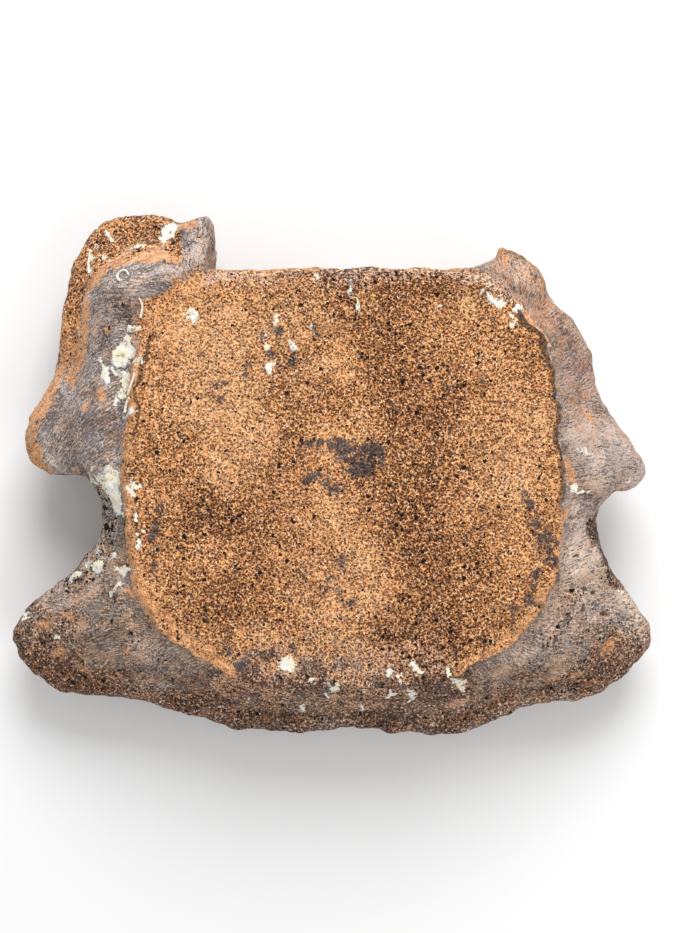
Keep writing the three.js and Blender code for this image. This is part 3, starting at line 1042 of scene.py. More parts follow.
    def build(self) -> bpy.types.Material:
        """Lays the finishes over one another.

        Returns:
            The finished material.
        """
        shader = Shader("weathered_bone")
        tones = self.outer
        place = shader.node("ShaderNodeTexCoord", {}, {}, "Object")
        place = shader.stretched(place, (MM, MM, self.upright * MM))
        fray = Fray(*(shader.noise(place, size, detail) - 0.5 for size, detail in self.fray))
        ragged, torn = fray.ragged, fray.torn
        holes = self.pores(shader, place)
        spongy = shader.ease(0.4, 0.6, shader.mark(Mark.SPONGY) + ragged * 0.7 + torn * 0.8)
        ochre = shader.ease(-0.04, 0.14, shader.mark(Mark.OCHRE) + ragged * 0.9 + torn * 0.9)
        stain = shader.mark(Mark.STAIN) + ragged * 3 + torn * 2.6 + fray.fine * 1.4
        crust = shader.mark(Mark.CRUST) + ragged * 2.4 + torn * 1.4 + fray.fine * 0.8
        gaps = shader.noise(place, 2, 2)
        stain = shader.ease(-0.05, 0.3, stain) * (1 - 0.8 * shader.ease(0.57, 0.63, gaps))
        crust = shader.ease(0, 0.12, crust) * (1 - 0.85 * shader.ease(0.6, 0.66, gaps))
        # painted shade in grooves, a crack, the slit and dents, and painted shadow beside the raised bands
        dirt = shader.ease(0.15, 0.8, shader.mark(Mark.PAINTED_SHADE) + ragged * 0.6 + torn * 0.4)

        colour, fibre = self.outer_colour(shader, place, holes)
        colour = shader.blend(spongy, colour, self.spongy_colour(shader, place, holes))
        bare = shader.most(holes.fine * 0.55, holes.wide) * spongy
        mottle = shader.noise(place, 1.5, 4)
        smooth = self.ochre_colour(shader, mottle, fibre, holes)
        colour = shader.blend(ochre * (0.85 - 0.55 * bare) * (0.6 + 0.6 * mottle), colour, smooth)
        colour = shader.blend(dirt * 0.75, colour, tones.dirt)
        bloom = self.stain_colour(shader, mottle, fray, bare)
        colour = shader.blend(stain * (0.7 + 0.4 * mottle), colour, bloom)
        lime = shader.blend(shader.ease(0.42, 0.58, torn + 0.5), tones.cream, tones.chalk)
        lime = shader.blend(shader.ease(0.56, 0.7, mottle) * 0.4, lime, tones.stain_light)
        colour = shader.blend(crust * 0.96, colour, lime)
        return shader.finish({
            "Base Color": colour,
            "Roughness": 0.88 - 0.36 * stain + 0.04 * crust,
            "Normal": shader.bump(self.relief(shader, fray, fibre, holes), self.depth),
            "Specular IOR Level": self.sheen,
        })


@dataclass
class Sheet:
    """A mesh in the making: points, marks, squares, and the two maps of each square's corners."""

    points: Array
    marks: Marks
    quads: Array
    bake: Array
    fibre: Array
    caps: list[list[int]] = field(default_factory=list)
    sharp: Array = field(default_factory=lambda: np.zeros(0, dtype=int))

    def mesh(self, name: str, material: bpy.types.Material) -> bpy.types.Object:
        """Puts the arrays into a mesh object.

        Args:
            name: name of the piece.
            material: finish of the piece.

        Returns:
            The object, linked to the scene at the origin.
        """
        mesh = bpy.data.meshes.new(name)
        mesh.from_pydata((self.points * MM).tolist(), [], self.quads.tolist() + self.caps)
        for mark, numbers in self.marks.items():
            layer = mesh.attributes.new(mark.value, "FLOAT", "POINT")
            layer.data.foreach_set("value", numbers.astype(np.float32))
        spare = np.zeros((len(mesh.loops) - 4 * len(self.quads), 2))
        for map_name, places in ((BAKE_MAP, self.bake), (FIBRE_MAP, self.fibre)):
            layer = mesh.uv_layers.new(name=map_name)
            layer.data.foreach_set("uv", np.concatenate([places.reshape(-1, 2), spare]).ravel())
        mesh.polygons.foreach_set("use_smooth", np.ones(len(mesh.polygons), dtype=bool))
        mesh.edges.foreach_set("use_edge_sharp", self.sharp_edges(mesh))
        mesh.materials.append(material)
        mesh.update()
        mesh.validate()
        piece = bpy.data.objects.new(name, mesh)
        bpy.context.scene.collection.objects.link(piece)
        return piece

    def sharp_edges(self, mesh: bpy.types.Mesh) -> Array:
        """Finds the edges that join two of the sheet's sharp points.

        Args:
            mesh: the mesh made from the sheet.

        Returns:
            Whether each edge is sharp.
        """
        ends = np.empty(2 * len(mesh.edges), dtype=np.int32)
        mesh.edges.foreach_get("vertices", ends)
        return np.isin(ends, self.sharp).reshape(-1, 2).all(axis=1)


@dataclass(frozen=True)
class Roughness3D:
    """The unevenness that all surfaces of the bone share, so that they still meet at the rims."""

    noise: Noise = Noise(11)
    first_channel: int = 10
    sizes: Rows = ((11, 0.5), (4.2, 0.32), (1.7, 0.16))
    rim_gain: float = 1.1
    rim_reach: float = 3.0

    def moved(self, points: Array, from_rim: Array) -> Array:
        """Moves each point by noise in x, y and z, more so near the rim.

        Args:
            points: places in millimetres.
            from_rim: their distance from a rim, in millimetres.

        Returns:
            The new places.
        """
        shift = np.zeros_like(points)
        for size, height in self.sizes:
            grains = [self.noise.grain(points, size, self.first_channel + axis) for axis in range(3)]
            shift += height * np.stack(grains, axis=-1)
        gain = 1 + self.rim_gain * np.exp(-((from_rim / self.rim_reach) ** 2))
        return points + shift * gain[..., None]


@dataclass(frozen=True)
class SpongyRelief:
    """The pores of spongy bone that are wide enough to be modelled."""

    noise: Noise = Noise(23)
    size: float = 1.9
    depth: float = 0.9

    def height(self, points: Array, openness: Array) -> Array:
        """Round pits, each with its own width and depth: a cosine-like bowl round a scattered seed.

        Args:
            points: places in millimetres.
            openness: how open the bone is, from 0 to 1.

        Returns:
            Heights in millimetres, at or below 0.
        """
        distance, lot = self.noise.cells(points, self.size)
        radius = 0.12 + 0.3 * lot * (0.35 + 0.65 * openness)
        bowl = 1 - ease(0.35, 1, distance / radius)
        return -self.depth * bowl * (0.35 + 0.65 * lot) * (0.45 + 0.55 * openness)


@dataclass(frozen=True)
class RimWearAndShade:
    """How the spongy face and the outer bone meet, and the painted shade along their edge, by the station and
    the way out from the edge.
    """

    noise: Noise = Noise(83)
    frayed: float = 1.5
    mottled: float = 13
    soft: float = 1.3

    def way_out(self, points: Array, out: Array) -> Array:
        """The way out from an edge that noise has frayed, by the same noise on the face and on the sides.

        Args:
            points: places in millimetres.
            out: way out from the smooth edge, in millimetres.

        Returns:
            Way out from the frayed edge, in millimetres.
        """
        return out + self.frayed * self.noise.layers(points, 7, 4)

    def spongy(self, at: Array, out: Array) -> Array:
        """How spongy the bone is: the spongy bone reaches past the edge, or falls short of it, by side.

        Args:
            at: stations.
            out: way out from the edge, in millimetres, less than 0 on the face.

        Returns:
            Numbers from 0 to 1, with the border at a half.
        """
        dorsal = within(*CANAL_FLOOR, at)
        left = within(2.2, 2.75, 0.12, at)
        right = within(0.3, 1.0, 0.06, at)
        reach = 0.4 + 7 * dorsal + 2.6 * left
        return np.clip(0.5 + (reach - out) / (3 + 4 * right), 0, 1)

    def lip(self, at: Array, points: Array) -> tuple[Array, Array]:
        """The ventral lip, where the spongy face fades into dark outer bone without an edge.

        Args:
            at: stations.
            points: places in millimetres.

        Returns:
            Where the lip is, and how spongy it is there, from 0 to 1 each.
        """
        down = points[..., 1] + self.mottled * self.noise.layers(points, 9, 4, 20)
        return within(3.22, 3.76, 0.06, at), ease(-80, -62, down)

    def ochre(self, at: Array, out: Array) -> Array:
        """The smooth ochre bands along the edge, each between two ways out.

        Args:
            at: stations.
            out: way out from the edge, in millimetres, less than 0 on the face.

        Returns:
            Depths inside the nearest band, from -1 to 1.
        """
        bands = (
            (within(2.84, 3.2, 0.05, at), -4.6, 0.6),
            (np.maximum(within(-0.1, 0.16, 0.06, at), within(3.8, 4.1, 0.04, at)), -3.4, 0.6),
            (within(0.16, 0.5, 0.06, at), -1.6, 0.6),
            (within(2.2, 2.85, 0.08, at), -0.8, 4.4),
            (within(0.84, 1.02, 0.03, at), 1.6, 4.4),
        )
        depth = np.full(np.shape(out), -1.0)
        for presence, low, high in bands:
            inside = np.clip(np.minimum(out - low, high - out) / self.soft, -1, 1)
            depth = np.maximum(depth, presence * (inside + 1) - 1)
        return depth

    def dirt(self, at: Array, out: Array) -> Array:
        """Painted shade in the grooves beside the edge and in a crack, and painted shadow in the lee of the
        raised bands.

        Args:
            at: stations.
            out: way out from the edge, in millimetres, less than 0 on the face.

        Returns:
            Numbers from 0 to 1.
        """
        # painted shade in the right groove, the crack and the left groove
        right = within(0.45, 1.0, 0.08, at) * within(-0.4, 1, 0.9, out)
        crack = within(0.86, 0.99, 0.03, at) * within(-0.8, 1, 0.7, out)
        left = within(2.12, 2.38, 0.05, at) * within(-1.8, -0.6, 0.8, out)
        lower = within(2.84, 3.2, 0.05, at) + within(3.8, 4.1, 0.05, at) + within(-0.1, 0.3, 0.05, at)
        # painted shadow on the flank beside the raised bands
        lee = lower * within(0.8, 2, 1, out)
        return np.clip(0.65 * right + crack + 0.7 * left + 0.4 * lee, 0, 1)


class Side(Enum):
    """The two end faces."""

    UPPER = "upper"
    LOWER = "lower"


@dataclass
class SpongyFace:
    """One end face: a closed slab of spongy bone in a pocket of the outer bone."""

    side: Side
    form: BoneForm
    steps: int
    finish: bpy.types.Material
    depth: float = 6.0
    inset: float = 1.6
    edge: float = 1.6
    map_share: float = 0.49
    noise: Noise = Noise(31)
    rim_wear_and_shade: RimWearAndShade = RimWearAndShade()
    unevenness: Roughness3D = Roughness3D()
    relief: SpongyRelief = SpongyRelief()

    def grid(self) -> tuple[Array, Array, Array]:
        """The face as a grid, rows first.

        Returns:
            Places across and up the face, from -1 to 1, and the points.
        """
        step = np.linspace(-1, 1, self.steps + 1)
        across, up = np.meshgrid(step, step)
        surface = self.form.upper_face if self.side is Side.UPPER else self.form.lower_face
        return across, up, surface(across, up) - self.form.middle()

    def from_edge(self, across: Array, up: Array) -> Array:
        """How far in from the edge each point of the face lies, in millimetres."""
        return (1 - np.maximum(np.abs(across), np.abs(up))) * self.form.upper.half_width

    def station(self, across: Array, up: Array) -> Array:
        """The station of the edge that each point of the face lies towards, seen from the middle.

        Args:
            across: place across the face.
            up: place up the face.

        Returns:
            The stations.
        """
        size = np.maximum(np.maximum(np.abs(across), np.abs(up)), 1e-9)
        x, y = across / size, up / size
        sides = [(y + 1) / 2, (3 - x) / 2, (5 - y) / 2]
        return np.select([x >= 1, y >= 1, x <= -1], sides, (7 + x) / 2)

    def lower_marks(self, inside: Array, points: Array) -> Marks:
        """What lies on the lower face, which no picture shows: clouds of stains and crusts.

        Args:
            inside: distance from the edge, in millimetres.
            points: places in millimetres.

        Returns:
            The numbers by their marks.
        """
        cloud = self.noise.layers(points, 13, 3, 40)
        fleck = self.noise.layers(points, 4, 3, 50)
        return {mark: np.zeros_like(inside) for mark in Mark} | {
            Mark.SPONGY: np.ones_like(inside),
            Mark.OPEN: np.clip(0.45 + 0.3 * cloud, 0, 1),
            Mark.OCHRE: ease(4, 0, inside + 2 * fleck) * 1.2 - 0.7,
            Mark.BROWN: np.clip(0.35 + 0.5 * cloud, 0, 1),
            Mark.PALE: np.clip(0.3 - 0.5 * cloud, 0, 1),
            Mark.STAIN: np.clip(0.8 * cloud - 0.75, -1, 1),
            Mark.CRUST: np.clip(1.2 * self.noise.layers(points, 9, 3, 60) - 1.25, -1, 1),
            Mark.DUST: np.clip(0.1 + 0.2 * cloud, 0, 1),
        }

    def upper_marks(self, at: Array, inside: Array, points: Array) -> Marks:
        """What lies on the upper face: stains, crusts, brown and pale regions, and the band along the rim.

        Args:
            at: stations.
            inside: distance from the edge, in millimetres.
            points: places in millimetres.

        Returns:
            The numbers by their marks.
        """
        cloud = self.noise.layers(points, 13, 3, 40)
        fleck = self.noise.layers(points, 4, 3, 50)
        out = self.rim_wear_and_shade.way_out(points, -inside)
        lip, lip_spongy = self.rim_wear_and_shade.lip(at, points)
        ventral = lip * ease(-50, -70, points[..., 1] + 9 * fleck)
        dorsal = ease(62, 70, points[..., 1] + 3 * fleck)
        regions = ease(-1, 0.8, patches(points, BROWN_REGIONS, 9, RAGGED_REGION))
        brown = np.clip(0.28 + 0.36 * regions + 0.22 * cloud, 0, 1)
        brown = np.maximum(brown, np.maximum(ventral, 0.6 * dorsal))
        pale = ease(-1, 0.8, patches(points, TAN_REGIONS, 6, RAGGED_REGION))
        pale = np.clip(pale - 0.3 * cloud, 0, 1)
        grown = ease(12, 0, inside) * within(1.7, 2.3, 0.15, at)
        openness = 0.46 + 0.34 * regions + 0.16 * cloud - 0.18 * pale - 0.3 * grown
        return {mark: np.zeros_like(inside) for mark in Mark} | {
            Mark.SPONGY: mix(self.rim_wear_and_shade.spongy(at, out), lip_spongy, lip),
            Mark.OPEN: np.clip(openness, 0, 1),
            Mark.OCHRE: self.rim_wear_and_shade.ochre(at, out),
            Mark.RUST: np.clip(0.7 * grown + 0.4 * ventral, 0, 1),
            Mark.BROWN: brown,
            Mark.PALE: pale * (1 - 0.7 * brown),
            Mark.PITTED: ventral,
            Mark.PAINTED_SHADE: self.rim_wear_and_shade.dirt(at, out),
            Mark.STAIN: patches(points, DARK_STAINS, 2),
            Mark.CRUST: patches(points, LIME_CRUSTS, 1.5),
            Mark.DUST: np.clip(0.6 * dorsal + 0.4 * ventral, 0, 1),
        }

    def heights(self, inside: Array, points: Array, marks: Marks) -> Array:
        """Pits, low waves, and stains and crusts that stand up a little, all of which fade out at the edge.

        Args:
            inside: distance from the edge, in millimetres.
            points: places in millimetres.
            marks: what lies on the face.

        Returns:
            Heights in millimetres.
        """
        crust = ease(-0.1, 0.3, marks[Mark.CRUST])
        covered = np.maximum(ease(-0.1, 0.4, marks[Mark.STAIN]) * 0.75, crust)
        pits = self.relief.height(points, marks[Mark.OPEN]) * (1 - covered)
        pits = pits * (1 - 0.7 * ease(0, 0.4, marks[Mark.OCHRE]))
        raised = 0.3 * crust + 0.15 * ease(-0.1, 0.3, marks[Mark.STAIN])
        waves = 0.5 * self.noise.layers(points, 14, 3, 70)
        return (pits + raised + waves) * ease(0, self.edge, inside)

    def build(self) -> bpy.types.Object:
        """Makes the slab: the pitted face, a short wall that leans inwards, and a flat back.

        Returns:
            The piece.
        """
        across, up, smooth = self.grid()
        inside = self.from_edge(across, up)
        if self.side is Side.UPPER:
            upward, marks = 1, self.upper_marks(self.station(across, up), inside, smooth)
        else:
            upward, marks = -1, self.lower_marks(inside, smooth)
        points = self.unevenness.moved(smooth, inside)
        points[..., 2] += upward * self.heights(inside, smooth, marks)
        points[..., 2] = np.maximum(points[..., 2], 0)

        ids = np.arange(across.size).reshape(across.shape)
        ring = np.concatenate([ids[0, :-1], ids[:-1, -1], ids[-1, :0:-1], ids[:0:-1, 0]])
        back = sunk(points.reshape(-1, 3)[ring], self.inset, upward * self.depth)
        below = ids.size + np.arange(len(ring))
        wall = np.stack([ring, below, np.roll(below, -1), np.roll(ring, -1)], axis=-1)
        quads = np.concatenate([corners(ids), wall])[:, ::upward]
        plan = np.stack([across, up], axis=-1).reshape(-1, 2)
        places = np.concatenate([plan, plan[ring]])
        sheet = Sheet(
            points=np.concatenate([points.reshape(-1, 3), back]),
            marks={mark: np.append(numbers, numbers.ravel()[ring]) for mark, numbers in marks.items()},
            quads=quads,
            bake=(places * self.map_share + 0.5)[quads],
            fibre=(places * self.form.upper.half_width * MM)[quads],
            caps=[below[::-upward].tolist()],
            sharp=ring,
        )
        return sheet.mesh(f"{self.side.value}_face", self.finish)


@dataclass(frozen=True)
class Regions:
    """Where the sides are broken, banded, torn or hollow, from 0 to 1 each."""

    broken: Array
    bands: Array
    tips: Array
    fringe: Array
    ends: Array
    ventral: Array
    holes: Array
    slit: Array


@dataclass
class OuterBone:
    """The bone's sides: flanks, outer walls and underside, with a pocket for each end face."""

    form: BoneForm
    steps: int
    finish: bpy.types.Material
    flank: int = 42
    wall: int = 16
    under: int = 20
    pocket: float = 9.0
    inset: float = 0.8
    edge: float = 2.2
    lean: float = 0.8
    strip_gap: float = 0.02
    noise: Noise = Noise(47)
    rim_wear_and_shade: RimWearAndShade = RimWearAndShade()
    unevenness: Roughness3D = Roughness3D()
    relief: SpongyRelief = SpongyRelief(Noise(53), 2.6, 1.5)

    def regions(self, at: Array, share: Array, cloud: Array, fleck: Array) -> Regions:
        """Finds the regions by the station and the share of the way down, with frayed borders.

        The share goes up to 1 on the flank, up to 2 on the outer wall and up to 3 on the underside.

        Args:
            at: stations.
            share: share of the way down.
            cloud: coarse noise.
            fleck: fine noise.

        Returns:
            The regions.
        """
        along = share + 0.06 * fleck
        frayed = along + 0.1 * fleck
        near = at + 0.035 * fleck
        near_turned = turned(at) + 0.035 * fleck
        past_break = along - 0.08 - 0.16 * ease(2.0, 2.14, at)
        broken = within(1.97, 2.24, 0.05, near) * ease(0.6, 0.66, past_break) * ease(1.95, 1.9, along)
        margin = within(1.965, 2.26, 0.02, near) * within(0.54, 0.62, 0.03, past_break)
        smooth = within(2.23, 2.29, 0.03, near) * within(0.86, 1.4, 0.05, along)
        strip = within(2.28, 2.46, 0.03, at) * within(1.16, 1.6, 0.06, along)
        tips = within(2.88, 3.04, 0.06, near) + within(-0.06, 0.07, 0.06, near_turned)
        fringe = within(2.95, 3.25, 0.08, near) + within(-0.24, 0, 0.08, near_turned)
        ends = within(0.96, 1.08, 0.03, at) + within(2.4, 2.47, 0.02, at)
        slit = within(0.31, 0.36, 0.02, turned(at)) * within(1.0, 1.4, 0.06, along)
        return Regions(
            broken=broken,
            bands=np.maximum(margin, np.maximum(smooth, strip)),
            tips=tips * within(0.76, 1.95, 0.2, frayed),
            fringe=fringe * within(0.86, 1.9, 0.2, frayed),
            ends=ends * within(1.25, 1.85, 0.1, along),
            ventral=within(3.2, 3.78, 0.08, near) * within(-0.3, 2.1, 0.14, along),
            holes=within(2.57, 2.78, 0.04, near) * within(0.72, 1.6, 0.12, along + 0.1 * cloud),
            slit=slit + within(0.2, 0.33, 0.04, turned(at)) * within(1.16, 1.5, 0.06, along),
        )

    def marks(self, sides: Sides, normal: Array) -> Marks:
        """What lies on the sides: broken spongy bone, ochre strips, painted shade in the groove, the slit and
        the dents, crusts.

        Args:
            sides: the grid.
            normal: its normals.

        Returns:
            The numbers by their marks.
        """
        points, share = sides.points, sides.share
        at = np.broadcast_to(sides.at, share.shape)
        x, y = points[..., 0], points[..., 1]
        cloud = self.noise.layers(points, 14, 3, 40)
        fleck = self.noise.layers(points, 4.5, 3, 50)
        seen = ease(-0.15, 0.2, normal[..., 2])
        out = self.rim_wear_and_shade.way_out(points, sides.from_rim)
        here = self.regions(at, share, cloud, fleck)
        tips, fringe, ventral, holes, slit = here.tips, here.fringe, here.ventral, here.holes, here.slit
        pedicle = within(0.9, 1.12, 0.06, at) * within(0.2, 1.6, 0.2, share)
        corner = within(1.84, 2.12, 0.08, at) * ease(14, 6, sides.from_rim + 3 * fleck)
        dorsal = within(*CANAL_FLOOR, at) * (share < 1)
        plain = within(0.36, 1.0, 0.1, at)

        torn = here.broken + 0.12 * tips + 0.08 * fringe + 0.6 * here.ends + 0.2 * holes
        spongy = np.clip(torn + 0.35 * fleck * ease(0.05, 0.3, torn), 0, 1)
        lip, lip_spongy = self.rim_wear_and_shade.lip(at, points)
        near_rim = mix(self.rim_wear_and_shade.spongy(at, out) * ease(16, 8, sides.from_rim), lip_spongy, lip)
        openness = 0.5 + 0.3 * cloud + 0.8 * holes + 0.7 * slit + 0.2 * here.broken - 0.4 * corner

        spots = np.where(seen > 0.5, patches(points, OCHRE_PATCHES, 2.2), -1)
        ochre = np.maximum(np.maximum(here.bands * 1.8 - 0.9, spots), self.rim_wear_and_shade.ochre(at, out))
        scattered = np.clip(1.3 * self.noise.layers(points, 10, 3, 60) - 1.35, -1, 1)
        crust = np.where(seen > 0.5, patches(points, LIME_CRUSTS, 1.5), scattered)
        # painted shade in the grooves, the slit and the dents, and painted shadow beside the raised bands
        dirt = self.rim_wear_and_shade.dirt(at, out) + 0.3 * slit + ease(-0.4, 0.6, patches(points, PITS, 0.8)) * seen * 0.8

        edge = within(0.36, 1.0, 0.06, at) * ease(8, 1, sides.from_rim)
        rust = 0.6 * pedicle + corner + 0.4 * fringe + 0.4 * ventral + 0.4 * tips + 0.35 * edge
        rust = rust + 0.35 * within(0.62, 0.9, 0.1, at) * within(0.55, 1.3, 0.2, share) + 0.3 * cloud
        under = ease(2.1, 2.6, share)
        brown = 0.1 + 0.25 * cloud + 0.8 * ventral + 0.4 * tips + 0.5 * fringe + 0.3 * under + slit
        brown = brown + 0.3 * plain - 0.25 * pedicle + 0.35 * dorsal
        lower_left = within(2.7, 3.2, 0.1, at)
        right = ease(60, 90, x) * ease(-75, -45, y) * (1 - 0.9 * ease(8, 40, y))
        horn = within(1.8, 1.92, 0.03, at) * 0.4
        pale = 0.16 + 0.58 * right + 0.2 * cloud - 0.1 * lower_left - 0.3 * ventral - 0.1 * fringe
        pale = pale + 0.75 * holes + horn
        roots = within(2.66, 3.2, 0.1, at) + within(-0.24, 0.2, 0.1, turned(at))
        pitted = here.broken + tips + fringe + ventral + 0.7 * holes + slit + 0.5 * here.ends
        pitted = np.maximum(pitted, (0.14 + 0.16 * roots - 0.1 * plain) * (1 + cloud))
        return {
            Mark.SPONGY: np.maximum(np.maximum(spongy, near_rim), 0.75 * corner),
            Mark.OPEN: np.clip(openness, 0, 1.6),
            Mark.OCHRE: np.clip(ochre, -1, 1),
            Mark.RUST: np.clip(rust, 0, 1),
            Mark.BROWN: np.clip(brown, 0, 1),
            Mark.PALE: np.clip(pale, 0, 1),
            Mark.PITTED: np.clip(pitted + 0.3 * fleck * ease(0, 0.3, pitted), 0, 1),
            Mark.PAINTED_SHADE: np.clip(dirt, 0, 1),
            Mark.STAIN: np.clip(0.6 * cloud - 0.85, -1, 1),
            Mark.CRUST: crust,
            Mark.DUST: np.clip(0.6 * dorsal + 0.4 * ventral, 0, 1),
            Mark.SLATE: np.clip(within(1.95, 2.62, 0.1, at) + 0.45 * plain + 0.4 * cloud, 0, 1),
        }

    def heights(self, points: Array, normal: Array, marks: Marks) -> Array:
        """Pits, waves, torn ground, dents, and crusts that stand up a little.

        Args:
            points: places in millimetres.
            normal: the smooth surface's normals.
            marks: what lies on the sides.

        Returns:
            Heights in millimetres.
        """
        crust = ease(-0.1, 0.3, marks[Mark.CRUST])
        pits = self.relief.height(points, marks[Mark.OPEN])
        pits = pits * ease(0.3, 0.7, marks[Mark.SPONGY]) * (1 - crust)
        waves = 0.4 * self.noise.layers(points, 7, 3, 70) + 0.7 * self.noise.grain(points, 19, 75)
        torn = 0.55 * marks[Mark.PITTED] * self.noise.layers(points, 5, 3, 80)
        dents = -1.2 * ease(0, 0.7, patches(points, PITS, 0.8)) * ease(0, 0.3, normal[..., 2])
        return pits + waves + torn + dents + 0.25 * crust

    def build(self) -> bpy.types.Object:
        """Makes the closed shell: the sides, and a wall and a floor for each pocket.

        Returns:
            The piece.
        """
        sides = self.form.sides(self.steps, self.flank, self.wall, self.under)
        normal = normals(sides.points)
        marks = self.marks(sides, normal)
        near = np.minimum(sides.from_rim, sides.from_rim[:, -1:] - sides.from_rim)
        height = self.heights(sides.points, normal, marks) * ease(0, self.edge, near)
        points = self.unevenness.moved(sides.points, near) + normal * height[..., None]
        points[..., 2] = np.maximum(points[..., 2], 0)

        columns, rows = near.shape
        ids = np.arange(near.size).reshape(near.shape)
        floors, walls, caps = [], [], []
        for number, (ring, down) in enumerate(((ids[:, 0], 1), (ids[:, -1], -1))):
            floors.append(sunk(points.reshape(-1, 3)[ring], self.inset, down * self.pocket))
            below = ids.size + number * columns + np.arange(columns)
            wall = np.stack([ring, np.roll(ring, -1), np.roll(below, -1), below], axis=-1)
            walls.append(wall[:, ::down])
            caps.append(below[::down].tolist())
        full = {
            mark: np.concatenate([numbers.ravel(), numbers[:, 0], numbers[:, -1]])
            for mark, numbers in marks.items()
        }
        sheet = Sheet(
            points=np.concatenate([points.reshape(-1, 3), *floors]),
            marks=full,
            quads=np.concatenate([corners(np.concatenate([ids, ids[:1]])), *walls]),
            bake=self.bake_corners(columns, rows),
            fibre=self.fibre_corners(sides),
            caps=caps,
            sharp=np.concatenate([ids[:, 0], ids[:, -1]]),
        )
        return sheet.mesh("outer_bone", self.finish)

    def with_pockets(self, grid: Array) -> Array:
        """A map's values at each square's four corners, where the last column is not the first again.

        Args:
            grid: two numbers for each station, one station more than the mesh has, and each row.

        Returns:
            Two numbers for each corner of each square, with those of the pockets left at 0.
        """
        return np.concatenate([corners(grid), np.zeros((2 * (len(grid) - 1), 4, 2))])

    def bake_corners(self, columns: int, rows: int) -> Array:
        """The map for baking: four strips, one for each quarter of the way round, above one another.

        Args:
            columns: stations of the mesh.
            rows: points of each station.

        Returns:
            Two numbers for each corner of each square.
        """
        quarters = np.arange(columns + 1) / (columns // 4)
        across, down = np.meshgrid(quarters, np.arange(rows) / (rows - 1), indexing="ij")
        places = self.with_pockets(np.stack([across, down], axis=-1))
        strip = np.floor(places[:, :1, 0] + 1e-6)
        height = self.strip_gap + (1 - 2 * self.strip_gap) * places[..., 1]
        return np.clip(np.stack([places[..., 0] - strip, (strip + height) / 4], axis=-1), 0, 1)

    def fibre_corners(self, sides: Sides) -> Array:
        """The map that the fibres follow: the way round and the way down, in metres.

        On the left flank the fibres lean towards the upper root: the way round is less by a share of the way
        down.

        Args:
            sides: the grid.

        Returns:
            Two numbers for each corner of each square.
        """
        middle_row = sides.points[:, sides.flank // 2]
        steps = np.linalg.norm(np.roll(middle_row, -1, axis=0) - middle_row, axis=-1)
        around = np.concatenate([[0], np.cumsum(steps)])[:, None]
        down = np.concatenate([sides.from_rim, sides.from_rim[:1]])
        at = np.append(sides.at, 4)[:, None]
        lean = self.lean * within(2.1, 2.46, 0.2, at)
        return self.with_pockets(np.stack([around - lean * down, down], axis=-1) * MM)


@dataclass
class WormTubes:
    """Thin lime tubes of sea worms, which lie on the left flank."""

    ground: bpy.types.Object
    finish: bpy.types.Material
    radius: float = 0.42
    sides: int = 10
    steps: int = 40
    reach: float = 1.3
    smoothing: int = 7
    lift: float = 0.4
    narrow_end: float = 0.75
    wide_end: float = 1.1
    bulge: float = 0.06
    lime: float = 0.8

    def ground_points(self) -> Array:
        """Reads the ground's points.

        Returns:
            The points in millimetres.
        """
        points = np.empty(3 * len(self.ground.data.vertices))
        self.ground.data.vertices.foreach_get("co", points)
        return points.reshape(-1, 3) / MM

    def path(self, places: Rows, ground: Array) -> Array:
        """A smooth line through some places on the plan, laid on the highest ground near each of its points.

        The line is a polynomial through the places, as many degrees as they give.

        Args:
            places: x and y of each place.
            ground: the points that the tube lies on.

        Returns:
            The points of the line.
        """
        given = np.array(places)
        knots = np.linspace(0, 1, len(given))
        way = np.linspace(0, 1, self.steps)
        curves = (np.polyfit(knots, part, len(given) - 1) for part in given.T)
        plan = np.stack([np.polyval(curve, way) for curve in curves], axis=-1)
        far = np.linalg.norm(ground[None, :, :2] - plan[:, None], axis=-1)
        height = np.where(far < self.reach, ground[None, :, 2], -np.inf).max(axis=1)
        kernel = np.ones(self.smoothing) / self.smoothing
        height = np.convolve(np.pad(height, self.smoothing // 2, mode="edge"), kernel, mode="valid")
        return np.column_stack([plan, height + self.lift * self.radius])

    def tube(self, line: Array, first: int) -> tuple[Array, Array, list[list[int]]]:
        """A round profile carried along a line, a little wider at one end, with a cap at each end.

        Args:
            line: the points of the line.
            first: number of the first point.

        Returns:
            The points, the squares and the caps.
        """
        ahead = np.gradient(line, axis=0)
        ahead /= np.linalg.norm(ahead, axis=-1, keepdims=True)
        aside = np.cross(ahead, (0, 0, 1))
        aside /= np.linalg.norm(aside, axis=-1, keepdims=True)
        above = np.cross(aside, ahead)
        turn = np.linspace(0, 2 * np.pi, self.sides, endpoint=False)[None, :, None]
        taper = np.linspace(self.narrow_end, self.wide_end, len(line))
        bulges = 1 + self.bulge * np.sin(np.arange(len(line)))
        widths = (self.radius * taper * bulges)[:, None, None]
        ring = line[:, None] + widths * (np.cos(turn) * aside[:, None] + np.sin(turn) * above[:, None])
        ids = first + np.arange(len(line) * self.sides).reshape(len(line), self.sides)
        quads = corners(np.concatenate([ids, ids[:, :1]], axis=1))
        return ring.reshape(-1, 3), quads, [ids[0, ::-1].tolist(), ids[-1].tolist()]

    def build(self) -> bpy.types.Object:
        """Makes all the tubes as one mesh.

        Returns:
            The piece.
        """
        ground = self.ground_points()
        points, quads, caps = [], [], []
        for places in WORM_TUBES:
            ring, square, ends = self.tube(self.path(places, ground), sum(len(part) for part in points))
            points.append(ring)
            quads.append(square)
            caps += ends
        everything = np.concatenate(points)
        squares = np.concatenate(quads)
        zero = np.zeros(len(everything))
        marks = {mark: zero for mark in Mark}
        marks |= {Mark.CRUST: zero + self.lime, Mark.STAIN: zero - 1, Mark.OCHRE: zero - 1}
        low, high = everything.min(axis=0), everything.max(axis=0)
        flat = ((everything - low) / (high - low))[squares, :2]
        return Sheet(everything, marks, squares, flat, flat, caps).mesh("worm_tubes", self.finish)


